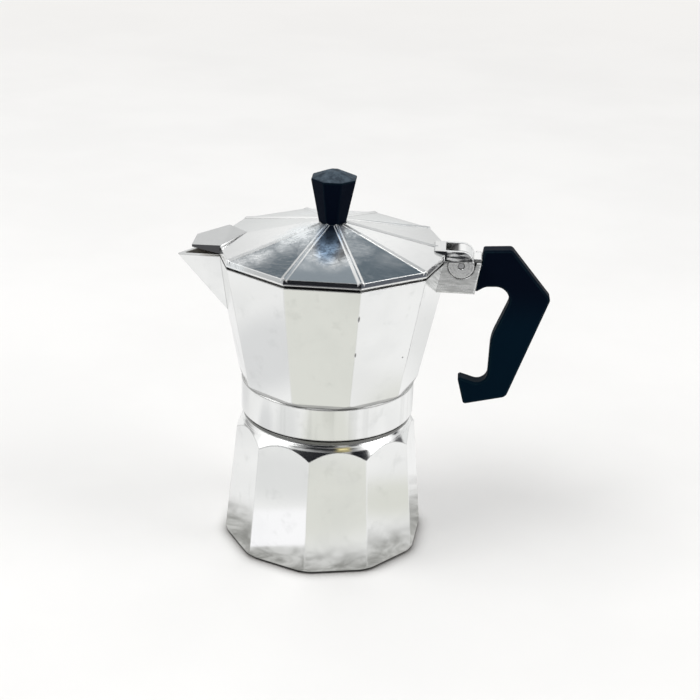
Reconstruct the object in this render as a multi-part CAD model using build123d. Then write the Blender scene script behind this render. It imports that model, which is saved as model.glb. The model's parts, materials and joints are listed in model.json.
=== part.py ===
from build123d import *

import math
import os

os.makedirs("parts", exist_ok=True)

# Moka pot, in millimetres. Its axis is Z, the table is z = 0, the handle points to +X and the spout to -X.

# Plan
SIDES = 10
CUT = 1.0  # how far a cut runs past the face that it opens, or a joined piece into its neighbour
FAR = 60.0  # reach of a block that takes away all beyond a plane
NEAR = 0.1  # how close to a face an edge counts as lying on it
STEEP = 0.3  # climb per millimetre of an edge that counts as running up
BOILER_TWIST = 12.3  # degrees: how far the boiler's corners stand past the collector's, screwed tight

# Boiler
FOOT_CORNER_R = 42.6
SHOULDER_Z = 49.1
SHOULDER_LEAN = 0.58  # radius lost per millimetre of height on the turned shoulder
BOILER_EDGE = 0.9  # rounding of the corners between the flat sides
FOOT_EDGE = 0.6
FOOT_TURN_R = 41.2  # the foot's corners are turned off to this radius at the table
FOOT_LEAN = 0.5  # radius gained per millimetre of height on that cut
BOILER_WALL = 3.0
BOILER_FLOOR = 3.5
BOILER_BEND = 4.0  # bevel between floor and wall inside
BOILER_CROWN_DROP = 3.0  # where the inside starts to close in, below the shoulder
BOILER_CROWN_RISE = 1.4  # height per millimetre that it closes in
SHOULDER_H = 7.1
SHOULDER_STEP = 1.9  # the shoulder's corners beyond the collector's band
LIP_T = 1.2
LIP_INSET = 0.7  # the lip's edge inside the band
NECK_H = 8.6
NECK_WALL = 2.6  # at the root of the thread
NECK_EDGE = 0.6

# Seal between the halves
FLANGE_T = 0.9
GASKET_T = 4.1
GASKET_WIDTH = 7.1
FILTER_INSET = 4.8  # the filter's edge inside the gasket's
FILTER_T = 0.8
SEAM_GAP = 0.5
THREAD_DEPTH = 1.0
THREAD_CLEARANCE = 0.4
SLIP = 0.4  # radial room of pieces that lift out
GASKET_EDGE = 0.4

# Funnel
SHEET = 0.9
FLANGE_INSET = 0.6  # edge of the flange inside the neck
BASKET_DEPTH = 20.0
BASKET_CONE = 5.0
SCREEN_T = 0.8
SCREEN_LEDGE = 1.4
SCREEN_STEP = 1.0  # straight wall under the ledge
SCREEN_PLAY = 0.1
TUBE_BORE_R = 3.3
TUBE_WALL = 0.9
TUBE_FOOT_GAP = 4.5
TUBE_FLARE = 1.4
TUBE_FLARE_H = 3.0
SOCKET_H = 5.0
HOLE_R = 0.65
HOLE_SIDES = 6
HOLE_PITCH = 5.4
HOLE_MARGIN = 2.6  # plain edge outside the holes

# Collector
BAND_R = 36.0
SKIRT_WALL = 3.0
BAND_H = 14.3
BAND_EDGE = 0.5
LEDGE_LEAN = 0.88  # radius gained per millimetre of height on the turned ledge above the band
FACET_STEP = 1.2  # corners of the facets beyond the band, at their foot
RIM_CORNER_R = 48.0
COLLECTOR_H = 53.7
COLLECTOR_WALL = 2.2
COLLECTOR_EDGE = 0.7
COLLECTOR_FLOOR = 4.2
FLOOR_RISE = 3.4
FLOOR_FLAT_W = 3.0  # level floor inside the band, before it rises
FILTER_PLAY = 0.1
DOME_RISE = 3.4

# Column
COLUMN_H = 34.0
COLUMN_FOOT_R = 8.0
COLUMN_R = 6.3
COLUMN_TOP_R = 5.2
COLUMN_BORE_R = 3.3
COLUMN_SPIGOT_R = 5.0
COLUMN_FOOT_T = 1.2
COLUMN_FOOT_TAPER = 2.3
COLUMN_CAP_H = 3.0
COLUMN_CAP_IN = 2.2
COLUMN_CAP_T = 2.5
OUTLET_DROP = 4.0  # top of the outlets below the column's
OUTLET_W = 4.0
OUTLET_H = 5.5
PRESS = 0.03  # radial room left in the model where a piece is pressed in

# Spout
SPOUT_REACH = 15.8  # tip beyond the rim's corner
SPOUT_TIP_DROP = 4.6
SPOUT_FOOT_DROP = 29.0
SPOUT_HALF_W = 13.4
SPOUT_WALL = 1.9
SPOUT_KEEL_EDGE = 1.3
SPOUT_DEPTH = 30.0  # how far the V's solid reaches in from the keel, before the chamber cuts it off
SPOUT_OVERRUN = 12.0  # how far it runs past both ends of the keel

# Hinge
PIN_OUT = 4.4  # pin's axis beyond the rim's corner
PIN_DROP = 0.1
PIN_R = 1.4
PIN_PLAY = 0.06
PIN_INSET = 0.2  # end of the pin inside the lug's side
PIN_EDGE = 0.25
KNUCKLE_R = 5.2
KNUCKLE_HALF_W = 4.6
HINGE_GAP = 0.3
LUG_HALF_W = 8.3
LUG_DEPTH = 12.0
LUG_RISE = 1.0
LUG_EDGE = 0.8
LUG_ROOT = 6.0  # how far the lug runs back into the wall, where the chamber cuts it off
BRIDGE_H = 0.8  # the middle knuckle's foot above the lug, towards the handle
SLOT_GAP = 1.2  # between the lid's edge and the middle knuckle
LID_OPEN = 105.0  # degrees
LID_OPEN_ROOM = 2.0  # further that the lug leaves room for
ARM_ROOT = 6.5  # how far the arms run back over the lid
ARM_LEAN = 0.5  # how far their sides lean in per millimetre of height, above the lug

# Lid
LID_GAP = 1.2  # dark line between the rim and the lid
LID_OVERHANG = 0.2
LID_RIM_H = 2.3
LID_UPRIGHT_H = 0.6  # upright foot of the rim, below its draft
LID_RIM_DRAFT = 0.5
LID_RISE = 9.5
LID_WALL = 2.2
LID_SEAT_INSET = 1.5
LID_SEAT_W = 2.4
LID_SEAT_GAP = 0.05
KNOB_BOSS_W = 3.0  # full thickness round the knob's pad
KNOB_PAD_R = 6.2
RIB_RIM_W = 2.7
RIB_KNOB_W = 1.9
RIB_CREST_W = 0.5
RIB_H = 0.5
RIB_GAP = 0.1  # between a rib's end and the knob, and the rim
BEAK_APEX_X = 34.6
BEAK_END = 8.0  # blunt end beyond the rim's corner
BEAK_END_HALF_W = 6.7
BEAK_FALL = 0.203
BEAK_WALL = 1.5
BEAK_LAP = 0.2  # the cover beyond the spout's root, each side
BEAK_PROUD = 0.05  # its start above the hip

# Knob
KNOB_SIDES = 8
KNOB_FOOT_R = 5.8
KNOB_TOP_R = 9.7
KNOB_SHANK_H = 18.3
KNOB_CAP_H = 2.8
KNOB_FLAT_R = 2.9
KNOB_EDGE = 0.7

# Screws
SCREW_R = 1.9
SCREW_HEAD_R = 3.8
SCREW_HEAD_H = 2.2
KNOB_SCREW_REACH = 12.0
WASHER_R = 5.0
WASHER_T = 0.7
HANDLE_SCREW_R = 1.4
HANDLE_SCREW_HEAD_R = 2.4
HANDLE_SCREW_HEAD_H = 1.6
HANDLE_SCREW_EDGE = 0.6
SCREW_EDGE = 0.9
SCREW_PLAY = 0.2

# Handle
HANDLE_T = 6.8
HANDLE_EDGE = 0.7
HANDLE_LEAN = 0.164  # how far the joint with the lug leans out per millimetre of height
JOINT_OUT = 12.36  # joint face beyond the rim's corner, at the height of the rim
JOINT_RISE = 5.1  # top of the joint face above the rim
JOINT_DROP = 13.2  # its foot below the rim
TENON_T = 5.0
TENON_H = 5.0
TENON_LENGTH = 5.6
TENON_DROP = 9.2  # top of the tenon below the rim
TENON_PLAY = 0.1
TENON_SCREW_IN = 3.1  # the screw's axis inside the joint face, at the tenon's foot
TENON_SCREW_SHORT = 0.6  # end of the screw below the tenon's top

# Safety valve
VALVE_DROP = 16.1  # the valve's axis below the shoulder
VALVE_SHANK_R = 4.0
VALVE_SHANK_L = 6.5
VALVE_HEX_FLATS = 11.0
VALVE_HEX_T = 4.0
VALVE_BARREL_R = 4.4
VALVE_BARREL_L = 4.0
VALVE_WASHER_R = 6.9
VALVE_WASHER_T = 1.0
VALVE_BORE_R = 2.7
VALVE_INLET_R = 1.5
VALVE_SEAT_T = 1.6
POPPET_HEAD_R = 2.3
POPPET_HEAD_T = 1.8
POPPET_STEM_R = 0.9
POPPET_SHOWS = 2.4
VALVE_CAP_T = 1.2
VALVE_PLAY = 0.3  # round the stem in the cap
VALVE_HEX_EDGE = 1.0
STEM_EDGE = 0.3
SPRING_WIRE_R = 0.25
SPRING_R = 1.75
SPRING_TURNS = 5
SPRING_SIDES = 6  # flats round the wire
SPRING_PLAY = 0.1
SPRING_MARKS = 48  # points to a turn for measuring its gap

# Sizes that follow from those above
SKIRT_R = BAND_R - SKIRT_WALL
NECK_R = SKIRT_R - THREAD_DEPTH - THREAD_CLEARANCE
GASKET_R = SKIRT_R - SLIP
FILTER_R = GASKET_R - FILTER_INSET
SHOULDER_CORNER_R = BAND_R + SHOULDER_STEP
LIP_R = BAND_R - LIP_INSET
FACET_FOOT_CORNER_R = BAND_R + FACET_STEP
LIP_Z = SHOULDER_Z + SHOULDER_H
VALVE_Z = SHOULDER_Z - VALVE_DROP
BAND_Z = LIP_Z + LIP_T + SEAM_GAP
NECK_TOP_Z = LIP_Z + LIP_T + NECK_H
GASKET_Z = NECK_TOP_Z + FLANGE_T
SEAL_Z = GASKET_Z + GASKET_T
BAND_TOP_Z = BAND_Z + BAND_H
RIM_Z = BAND_TOP_Z + COLLECTOR_H
FLOOR_Z = SEAL_Z + COLLECTOR_FLOOR
LID_Z = RIM_Z + LID_GAP
ROOF_Z = LID_Z + LID_RIM_H
KNOB_Z = ROOF_Z + LID_RISE
PIN_X = RIM_CORNER_R + PIN_OUT
PIN_Z = RIM_Z - PIN_DROP
LUG_TOP_Z = RIM_Z + LUG_RISE
NECK_BORE_R = NECK_R - NECK_WALL
LID_CORNER_R = RIM_CORNER_R + LID_OVERHANG
ROOF_CORNER_R = LID_CORNER_R - LID_RIM_DRAFT
ROOF_SLOPE = LID_RISE / (ROOF_CORNER_R - KNOB_PAD_R)
FLAT = math.cos(math.pi / SIDES)  # distance to a flat side over distance to a corner


def tapered(levels, sides=SIDES, turn=0.0):
    """A flat-sided body through the given heights and corner radii, swelling outwards all the way."""
    angles = [math.radians(turn + 360 * k / sides) for k in range(sides)]
    return ConvexPolyhedron([(r * math.cos(a), r * math.sin(a), z) for z, r in levels for a in angles])


def turned(points):
    """A body of revolution from its half profile of radius and height."""
    return revolve(Plane.XZ * make_face(Polyline(*points, close=True)), Axis.Z)


def rod(radius, low, high):
    return Pos(0, 0, low) * Cylinder(radius, high - low, align=(Align.CENTER, Align.CENTER, Align.MIN))


def block(x, y, z):
    """A box from its three spans."""
    size = [b - a for a, b in (x, y, z)]
    middle = [(a + b) / 2 for a, b in (x, y, z)]
    return Pos(*middle) * Box(*size)


def ease_corners(body, radius):
    """Rounds the edges that run up between the flat sides."""
    steep = [e for e in body.edges() if abs((e @ 1 - e @ 0).normalized().Z) > STEEP]
    return fillet(steep, radius)


def across(radius, half_w, x, z):
    """A cylinder lying along Y."""
    return Pos(x, 0, z) * Rot(90, 0, 0) * Cylinder(radius, 2 * half_w)


# Boiler


def boiler_corner_r(z):
    return FOOT_CORNER_R - (FOOT_CORNER_R - SHOULDER_CORNER_R) * z / SHOULDER_Z


def boiler_outside():
    top = LIP_Z + LIP_T
    body = ease_corners(tapered([(0, FOOT_CORNER_R), (top, boiler_corner_r(top))]), BOILER_EDGE)
    body = chamfer([e for e in body.edges() if e.bounding_box().max.Z < NEAR], FOOT_EDGE)
    # foot and shoulder are turned: one cone takes the corners off, the other cuts a scallop into each side
    wide = FOOT_CORNER_R + CUT
    foot_z = (wide - FOOT_TURN_R) / FOOT_LEAN
    low = SHOULDER_Z - (wide - SHOULDER_CORNER_R) / SHOULDER_LEAN
    lip_root_r = SHOULDER_CORNER_R - (LIP_Z - SHOULDER_Z) * SHOULDER_LEAN
    shape = turned(
        [
            (0, 0),
            (FOOT_TURN_R, 0),
            (wide, foot_z),
            (wide, low),
            (lip_root_r, LIP_Z),
            (NECK_R, LIP_Z),
            (NECK_R, top),
            (0, top),
        ]
    )
    body = body & shape
    lip = turned([(0, LIP_Z - CUT), (lip_root_r, LIP_Z - CUT), (LIP_R, LIP_Z), (LIP_R, top), (0, top)])
    neck = chamfer(rod(NECK_R, top - CUT, NECK_TOP_Z).edges().group_by(Axis.Z)[-1], NECK_EDGE)
    return body + lip + neck


def boiler_inside():
    low_r = boiler_corner_r(BOILER_FLOOR) * FLAT - BOILER_WALL
    high_z = SHOULDER_Z - BOILER_CROWN_DROP
    high_r = boiler_corner_r(high_z) * FLAT - BOILER_WALL
    profile = make_face(
        Polyline(
            (0, BOILER_FLOOR),
            (low_r, BOILER_FLOOR),
            (high_r, high_z),
            (NECK_BORE_R, high_z + (high_r - NECK_BORE_R) * BOILER_CROWN_RISE),
            (NECK_BORE_R, NECK_TOP_Z + CUT),
            (0, NECK_TOP_Z + CUT),
            close=True,
        )
    )
    corner = profile.vertices().sort_by_distance((low_r, BOILER_FLOOR))[0]
    return revolve(Plane.XZ * chamfer(corner, BOILER_BEND), Axis.Z)


def valve_place():
    """The plane on a back facet of the boiler that the safety valve stands on, its normal pointing out."""
    lean = math.atan((FOOT_CORNER_R - SHOULDER_CORNER_R) * FLAT / SHOULDER_Z)
    facing = (0, math.cos(lean), math.sin(lean))
    plane = Plane(origin=(0, boiler_corner_r(VALVE_Z) * FLAT, VALVE_Z), x_dir=(1, 0, 0), z_dir=facing)
    return Rot(0, 0, BOILER_TWIST) * plane.location


def boiler():
    body = Rot(0, 0, BOILER_TWIST) * (boiler_outside() - boiler_inside())
    return body - valve_place() * rod(VALVE_SHANK_R + PRESS, -2 * BOILER_WALL, BOILER_WALL)


# Safety valve, in its own plane: z = 0 is the boiler's facet and +z points out


VALVE_HEX_Z = VALVE_WASHER_T
VALVE_BARREL_Z = VALVE_HEX_Z + VALVE_HEX_T
VALVE_TOP_Z = VALVE_BARREL_Z + VALVE_BARREL_L
VALVE_SEAT_Z = VALVE_SEAT_T - VALVE_SHANK_L
SPRING_LOW = VALVE_SEAT_Z + POPPET_HEAD_T + SPRING_PLAY
SPRING_HIGH = VALVE_TOP_Z - VALVE_CAP_T - SPRING_PLAY


def valve_washer():
    return rod(VALVE_WASHER_R, 0, VALVE_WASHER_T) - rod(VALVE_SHANK_R + PRESS, -CUT, VALVE_WASHER_T + CUT)


def valve_body():
    hexagon = VALVE_HEX_FLATS / 2 / math.cos(math.pi / 6)
    body = tapered([(VALVE_HEX_Z, hexagon), (VALVE_BARREL_Z, hexagon)], sides=6)
    crown = turned(
        [
            (0, VALVE_HEX_Z),
            (hexagon + CUT, VALVE_HEX_Z),
            (hexagon + CUT, VALVE_BARREL_Z - VALVE_HEX_EDGE),
            (VALVE_HEX_FLATS / 2, VALVE_BARREL_Z),
            (0, VALVE_BARREL_Z),
        ]
    )
    body = (body & crown) + rod(VALVE_SHANK_R, -VALVE_SHANK_L, VALVE_HEX_Z + CUT)
    body = body + rod(VALVE_BARREL_R, VALVE_BARREL_Z - CUT, VALVE_TOP_Z)
    body = body - rod(VALVE_BORE_R, VALVE_SEAT_Z, VALVE_TOP_Z + CUT)
    return body - rod(VALVE_INLET_R, -VALVE_SHANK_L - CUT, VALVE_SEAT_Z + CUT)


def valve_poppet():
    head = rod(POPPET_HEAD_R, VALVE_SEAT_Z, VALVE_SEAT_Z + POPPET_HEAD_T)
    stem = rod(POPPET_STEM_R, VALVE_SEAT_Z, VALVE_TOP_Z + POPPET_SHOWS)
    stem = chamfer(stem.edges().group_by(Axis.Z)[-1], STEM_EDGE)
    return head + stem


def valve_cap():
    low = VALVE_TOP_Z - VALVE_CAP_T
    cap = rod(VALVE_BORE_R - PRESS, low, VALVE_TOP_Z)
    return cap - rod(POPPET_STEM_R + VALVE_PLAY, low - CUT, VALVE_TOP_Z + CUT)


def spring_point(turns):
    """A point on the spring's helix and the way that it runs there."""
    rise = SPRING_HIGH - SPRING_LOW - 2 * SPRING_WIRE_R
    angle = 2 * math.pi * turns
    spot = Vector(
        SPRING_R * math.cos(angle),
        SPRING_R * math.sin(angle),
        SPRING_LOW + SPRING_WIRE_R + rise * turns / SPRING_TURNS,
    )
    climb = rise / SPRING_TURNS / (2 * math.pi)
    way = Vector(-SPRING_R * math.sin(angle), SPRING_R * math.cos(angle), climb).normalized()
    return spot, way


def valve_spring():
    """One unbroken wire on pairs of arcs, a pair to each half turn."""
    edges = []
    for k in range(2 * SPRING_TURNS):
        a, a_way = spring_point(k / 2)
        b, b_way = spring_point((k + 1) / 2)
        gap, both = b - a, a_way + b_way
        bend = 2 * (1 - a_way.dot(b_way))
        along = gap.dot(both)
        reach = (-along + math.sqrt(along * along + bend * gap.dot(gap))) / bend
        first, second = a + a_way * reach, b - b_way * reach
        middle = (first + second) / 2
        edges.append(Edge.make_tangent_arc(a, a_way, middle))
        edges.append(Edge.make_tangent_arc(middle, (second - first).normalized(), b))
    start, way = spring_point(0)
    marks = [spring_point(k / SPRING_MARKS)[0] for k in range(SPRING_MARKS * SPRING_TURNS + 1)]
    apart = min((a - b).length for i, a in enumerate(marks) for b in marks[i + SPRING_MARKS // 2 :])
    print("spring: least gap to itself", round(apart - 2 * SPRING_WIRE_R, 2))
    section = Plane(origin=start, z_dir=way) * RegularPolygon(SPRING_WIRE_R, SPRING_SIDES)
    return sweep(section, path=Wire(edges))


# Funnel


def basket_radii():
    outer = NECK_BORE_R - SLIP
    return outer, outer - SHEET


def funnel_basket():
    outer, inner = basket_radii()
    ledge_z = NECK_TOP_Z - BASKET_DEPTH
    cone_z = ledge_z - BASKET_CONE
    socket_r = TUBE_BORE_R + TUBE_WALL + PRESS
    low_outer, low_inner = outer - SCREEN_LEDGE, inner - SCREEN_LEDGE
    socket_z = cone_z - SOCKET_H
    outside = turned(
        [
            (0, socket_z),
            (socket_r + SHEET, socket_z),
            (socket_r + SHEET, cone_z - SHEET),
            (low_outer, ledge_z - SHEET - SCREEN_STEP),
            (low_outer, ledge_z - SHEET),
            (outer, ledge_z - SHEET),
            (outer, NECK_TOP_Z),
            (NECK_R - FLANGE_INSET, NECK_TOP_Z),
            (NECK_R - FLANGE_INSET, GASKET_Z),
            (0, GASKET_Z),
        ]
    )
    inside = turned(
        [
            (0, socket_z - CUT),
            (socket_r, socket_z - CUT),
            (socket_r, cone_z),
            (low_inner, ledge_z - SCREEN_STEP),
            (low_inner, ledge_z),
            (inner, ledge_z),
            (inner, GASKET_Z + CUT),
            (0, GASKET_Z + CUT),
        ]
    )
    return outside - inside


def funnel_tube():
    outer = TUBE_BORE_R + TUBE_WALL
    top = NECK_TOP_Z - BASKET_DEPTH - BASKET_CONE
    low = BOILER_FLOOR + TUBE_FOOT_GAP
    return turned(
        [
            (TUBE_BORE_R, top),
            (TUBE_BORE_R, low + TUBE_FLARE_H),
            (TUBE_BORE_R + TUBE_FLARE, low),
            (outer + TUBE_FLARE, low),
            (outer, low + TUBE_FLARE_H),
            (outer, top),
        ]
    )


def hole_spots(radius):
    """Holes in rings of six, twelve, eighteen and so on about the middle one."""
    spots = [(0.0, 0.0)]
    for ring in range(1, int((radius - HOLE_MARGIN) / HOLE_PITCH) + 1):
        for k in range(6 * ring):
            angle = 2 * math.pi * (k + 0.5 * (ring % 2)) / (6 * ring)
            spots.append((ring * HOLE_PITCH * math.cos(angle), ring * HOLE_PITCH * math.sin(angle)))
    return spots


def perforated(radius, low, thick):
    """A plate with its holes, each drawn with a few flat sides."""
    plate = rod(radius, low, low + thick)
    hole = tapered([(low - CUT, HOLE_R), (low + thick + CUT, HOLE_R)], sides=HOLE_SIDES)
    return plate - [Pos(x, y, 0) * hole for x, y in hole_spots(radius)]


def funnel_screen():
    inner = basket_radii()[1]
    return perforated(inner - SCREEN_PLAY, NECK_TOP_Z - BASKET_DEPTH, SCREEN_T)


# Seal


def gasket():
    disc = rod(GASKET_R, GASKET_Z, SEAL_Z)
    disc = chamfer([e for e in disc.edges() if e.geom_type == GeomType.CIRCLE], GASKET_EDGE)
    return disc - rod(GASKET_R - GASKET_WIDTH, GASKET_Z - CUT, SEAL_Z + CUT)


def filter_plate():
    return perforated(FILTER_R, SEAL_Z, FILTER_T)


# Collector


def collector_corner_r(z):
    slope = (RIM_CORNER_R - FACET_FOOT_CORNER_R) / COLLECTOR_H
    return FACET_FOOT_CORNER_R + slope * (z - BAND_TOP_Z)


def collector_facets():
    body = tapered([(BAND_TOP_Z, FACET_FOOT_CORNER_R), (RIM_Z, RIM_CORNER_R)])
    body = ease_corners(body, COLLECTOR_EDGE)
    # the ledge above the band is turned too, so each flat side ends in an arc
    wide = RIM_CORNER_R + CUT
    high = BAND_TOP_Z + (wide - BAND_R) / LEDGE_LEAN
    ledge = turned(
        [(0, BAND_TOP_Z), (BAND_R, BAND_TOP_Z), (wide, high), (wide, RIM_Z + CUT), (0, RIM_Z + CUT)]
    )
    return body & ledge


def collector_band():
    band = rod(BAND_R, BAND_Z, BAND_TOP_Z)
    return chamfer([e for e in band.edges() if e.geom_type == GeomType.CIRCLE], BAND_EDGE)


def collector_chamber():
    """The space inside, down to a floor that rises towards the column."""
    wall = COLLECTOR_WALL / FLAT
    top = RIM_Z + CUT
    space = tapered([(FLOOR_Z, collector_corner_r(FLOOR_Z) - wall), (top, collector_corner_r(top) - wall)])
    space = ease_corners(space, COLLECTOR_EDGE)
    floor = turned(
        [
            (0, FLOOR_Z - CUT),
            (RIM_CORNER_R, FLOOR_Z - CUT),
            (RIM_CORNER_R, FLOOR_Z),
            (BAND_R - FLOOR_FLAT_W, FLOOR_Z),
            (COLUMN_FOOT_R + CUT, FLOOR_Z + FLOOR_RISE),
            (0, FLOOR_Z + FLOOR_RISE),
        ]
    )
    return space - floor


def collector_underside():
    """The threaded skirt's bore, the filter's recess and the dome that leads to the column."""
    recess_r = FILTER_R + SLIP
    recess_z = SEAL_Z + FILTER_T + FILTER_PLAY
    dome_r = GASKET_R - GASKET_WIDTH
    dome_z = recess_z + DOME_RISE
    spigot_r = COLUMN_SPIGOT_R + PRESS
    return turned(
        [
            (0, BAND_Z - CUT),
            (SKIRT_R, BAND_Z - CUT),
            (SKIRT_R, SEAL_Z),
            (recess_r, SEAL_Z),
            (recess_r, recess_z),
            (dome_r, recess_z),
            (spigot_r, dome_z),
            (spigot_r, FLOOR_Z + FLOOR_RISE + CUT),
            (0, FLOOR_Z + FLOOR_RISE + CUT),
        ]
    )


def spout_frame():
    """Foot of the keel, its direction, the way in from it, and the half angle of the V."""
    foot_z = RIM_Z - SPOUT_FOOT_DROP
    foot = Vector(-collector_corner_r(foot_z), 0, foot_z)
    tip = Vector(-RIM_CORNER_R - SPOUT_REACH, 0, RIM_Z - SPOUT_TIP_DROP)
    keel = (tip - foot).normalized()
    inward = Vector(keel.Z, 0, -keel.X)
    side = 2 * RIM_CORNER_R * math.sin(math.pi / SIDES)
    root_x = RIM_CORNER_R - SPOUT_HALF_W * RIM_CORNER_R * (1 - math.cos(2 * math.pi / SIDES)) / (
        side * math.cos(math.pi / SIDES)
    )
    root = Vector(-root_x, SPOUT_HALF_W, RIM_Z)
    half_angle = math.atan(SPOUT_HALF_W / (root - foot).dot(inward))
    return foot, tip, keel, root_x, half_angle


def spout_prism(edge, shift):
    """The V, as a prism along the keel, moved in by the given distance along X."""
    foot, tip, keel, root_x, half_angle = spout_frame()
    half_w = SPOUT_DEPTH * math.tan(half_angle)
    section = Polygon((0, 0), (half_w, -SPOUT_DEPTH), (-half_w, -SPOUT_DEPTH), align=None)
    section = fillet(section.vertices().sort_by_distance((0, 0))[0], edge)
    along = (keel.X, keel.Y, keel.Z)
    start = foot - keel * SPOUT_OVERRUN + Vector(shift, 0, 0)
    place = Plane(origin=start, x_dir=(0, 1, 0), z_dir=along)
    return extrude(place * section, (tip - foot).length + 2 * SPOUT_OVERRUN, dir=along)


def spout_half(low, high):
    """The pot's half on the spout's side, between two heights."""
    return block((-2 * FAR, 0), (-FAR, FAR), (low, high))


def spout_outside():
    root_x = spout_frame()[3]
    v = spout_prism(SPOUT_KEEL_EDGE, 0) & spout_half(0, RIM_Z)
    # the lip falls from the rim to the tip
    fall = math.degrees(math.atan2(SPOUT_TIP_DROP, RIM_CORNER_R + SPOUT_REACH - root_x))
    return v - Pos(-root_x, 0, RIM_Z) * Rot(0, -fall, 0) * block((-FAR, FAR), (-FAR, FAR), (0, FAR))


def spout_inside():
    foot, tip, keel, root_x, half_angle = spout_frame()
    shift = SPOUT_WALL / (keel.Z * math.sin(half_angle))
    return spout_prism(SPOUT_KEEL_EDGE / 2, shift) & spout_half(RIM_Z - SPOUT_FOOT_DROP, RIM_Z + CUT)


def lug_outside():
    """The block that carries the hinge and the handle, with the middle knuckle on top."""
    low = RIM_Z - LUG_DEPTH
    out = JOINT_OUT + RIM_CORNER_R + LUG_DEPTH
    root_x = RIM_CORNER_R * FLAT - LUG_ROOT
    lug = block((root_x, out), (-LUG_HALF_W, LUG_HALF_W), (low, LUG_TOP_Z)) - beyond_joint()
    side = [e for e in lug.edges() if abs(e.center().Y) > LUG_HALF_W - NEAR]
    outer = [e for e in side if e.center().X > PIN_X + KNUCKLE_R and e.center().Z < LUG_TOP_Z - NEAR]
    lug = fillet(outer + [e for e in side if e.center().Z < low + NEAR], LUG_EDGE)
    middle = (-KNUCKLE_HALF_W, KNUCKLE_HALF_W)
    bridge = block((PIN_X, out), middle, (LUG_TOP_Z - CUT, LUG_TOP_Z + BRIDGE_H))
    return lug + across(KNUCKLE_R, KNUCKLE_HALF_W, PIN_X, PIN_Z) + (bridge - beyond_joint())


def beyond_joint():
    """All that lies outside the leaning face where handle and lug meet."""
    lean = math.degrees(math.atan(HANDLE_LEAN))
    joint = Pos(RIM_CORNER_R + JOINT_OUT, 0, RIM_Z) * Rot(0, lean, 0)
    return joint * block((0, FAR), (-FAR, FAR), (-FAR, FAR))


def arm_seats():
    """Room in the lug for the lid's two arms, shut and wide open, and over the rim for the lid's seat."""
    seat_r = KNUCKLE_R + HINGE_GAP
    wide = LUG_HALF_W + CUT
    open_arms = block((-LUG_DEPTH, 0), (-wide, wide), (0, seat_r))
    cut = across(seat_r, wide, PIN_X, PIN_Z)
    cut = cut + Pos(PIN_X, 0, PIN_Z) * Rot(0, LID_OPEN + LID_OPEN_ROOM, 0) * open_arms
    middle = (-KNUCKLE_HALF_W, KNUCKLE_HALF_W)
    cut = cut - block((PIN_X - LUG_DEPTH, PIN_X + LUG_DEPTH), middle, (PIN_Z - LUG_DEPTH, PIN_Z + LUG_DEPTH))
    over_rim = tapered([(RIM_Z, RIM_CORNER_R), (RIM_Z + LUG_DEPTH, RIM_CORNER_R)])
    return cut, over_rim & block((0, RIM_CORNER_R), (-2 * wide, 2 * wide), (RIM_Z, RIM_Z + LUG_DEPTH))


def tenon_block(play):
    """The handle's tenon, or with play its socket in the lug."""
    top = RIM_Z - TENON_DROP + TENON_H
    out = RIM_CORNER_R + JOINT_OUT
    low = top - TENON_H
    inner = out - HANDLE_LEAN * TENON_DROP - TENON_LENGTH
    half = TENON_T / 2
    return block((inner - play, out + CUT), (-half - play, half + play), (low - play, top + play))


def handle_screw_x():
    return RIM_CORNER_R + JOINT_OUT - HANDLE_LEAN * TENON_DROP - TENON_SCREW_IN


def collector():
    body = collector_facets() + collector_band() + spout_outside()
    seats, over_rim = arm_seats()
    body = body + (lug_outside() - over_rim) - seats
    body = body - collector_chamber() - spout_inside() - collector_underside()
    body = body - across(PIN_R + PRESS / 2, LUG_HALF_W + CUT, PIN_X, PIN_Z)
    body = body - tenon_block(TENON_PLAY)
    screw_hole = rod(HANDLE_SCREW_R + SCREW_PLAY / 2, RIM_Z - LUG_DEPTH - CUT, RIM_Z - TENON_DROP)
    return body - Pos(handle_screw_x(), 0, 0) * screw_hole


def column():
    low = SEAL_Z + FILTER_T + FILTER_PLAY + DOME_RISE
    foot = FLOOR_Z + FLOOR_RISE
    top = foot + COLUMN_H
    body = turned(
        [
            (0, low),
            (COLUMN_SPIGOT_R, low),
            (COLUMN_SPIGOT_R, foot),
            (COLUMN_FOOT_R, foot),
            (COLUMN_FOOT_R, foot + COLUMN_FOOT_T),
            (COLUMN_R, foot + COLUMN_FOOT_T + COLUMN_FOOT_TAPER),
            (COLUMN_TOP_R, top - COLUMN_CAP_H),
            (COLUMN_TOP_R - COLUMN_CAP_IN, top),
            (0, top),
        ]
    )
    body = body - rod(COLUMN_BORE_R, low - CUT, top - COLUMN_CAP_T)
    high = top - OUTLET_DROP
    half = OUTLET_W / 2
    return body - block((-half, half), (-2 * COLUMN_R, 2 * COLUMN_R), (high - OUTLET_H, high))


def hinge_pin():
    pin = across(PIN_R, LUG_HALF_W - PIN_INSET, PIN_X, PIN_Z)
    return chamfer([e for e in pin.edges() if e.geom_type == GeomType.CIRCLE], PIN_EDGE)


# Handle


def handle_face():
    """The side view, its corners given from the rim's corner as out, up and rounding."""
    corners = [
        (JOINT_OUT + JOINT_RISE * HANDLE_LEAN, JOINT_RISE, 0.8),
        (24.5, 5.9, 2.0),
        (41.4, -14.2, 2.2),
        (26.4, -58.3, 3.0),
        (9.0, -62.6, 1.2),
        (5.7, -50.3, 1.0),
        (18.1, -54.0, 4.5),
        (18.4, -32.8, 20.0),
        (27.5, -9.6, 5.6),
        (14.8, -10.3, 5.0),
        (JOINT_OUT - JOINT_DROP * HANDLE_LEAN, -JOINT_DROP, 0.8),
    ]
    spots = [(RIM_CORNER_R + out, RIM_Z + up) for out, up, _ in corners]
    face = Polygon(*spots, align=None)
    for spot, (_, _, rounding) in zip(spots, corners):
        face = fillet(face.vertices().sort_by_distance((*spot, 0))[0], rounding)
    return face


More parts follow.
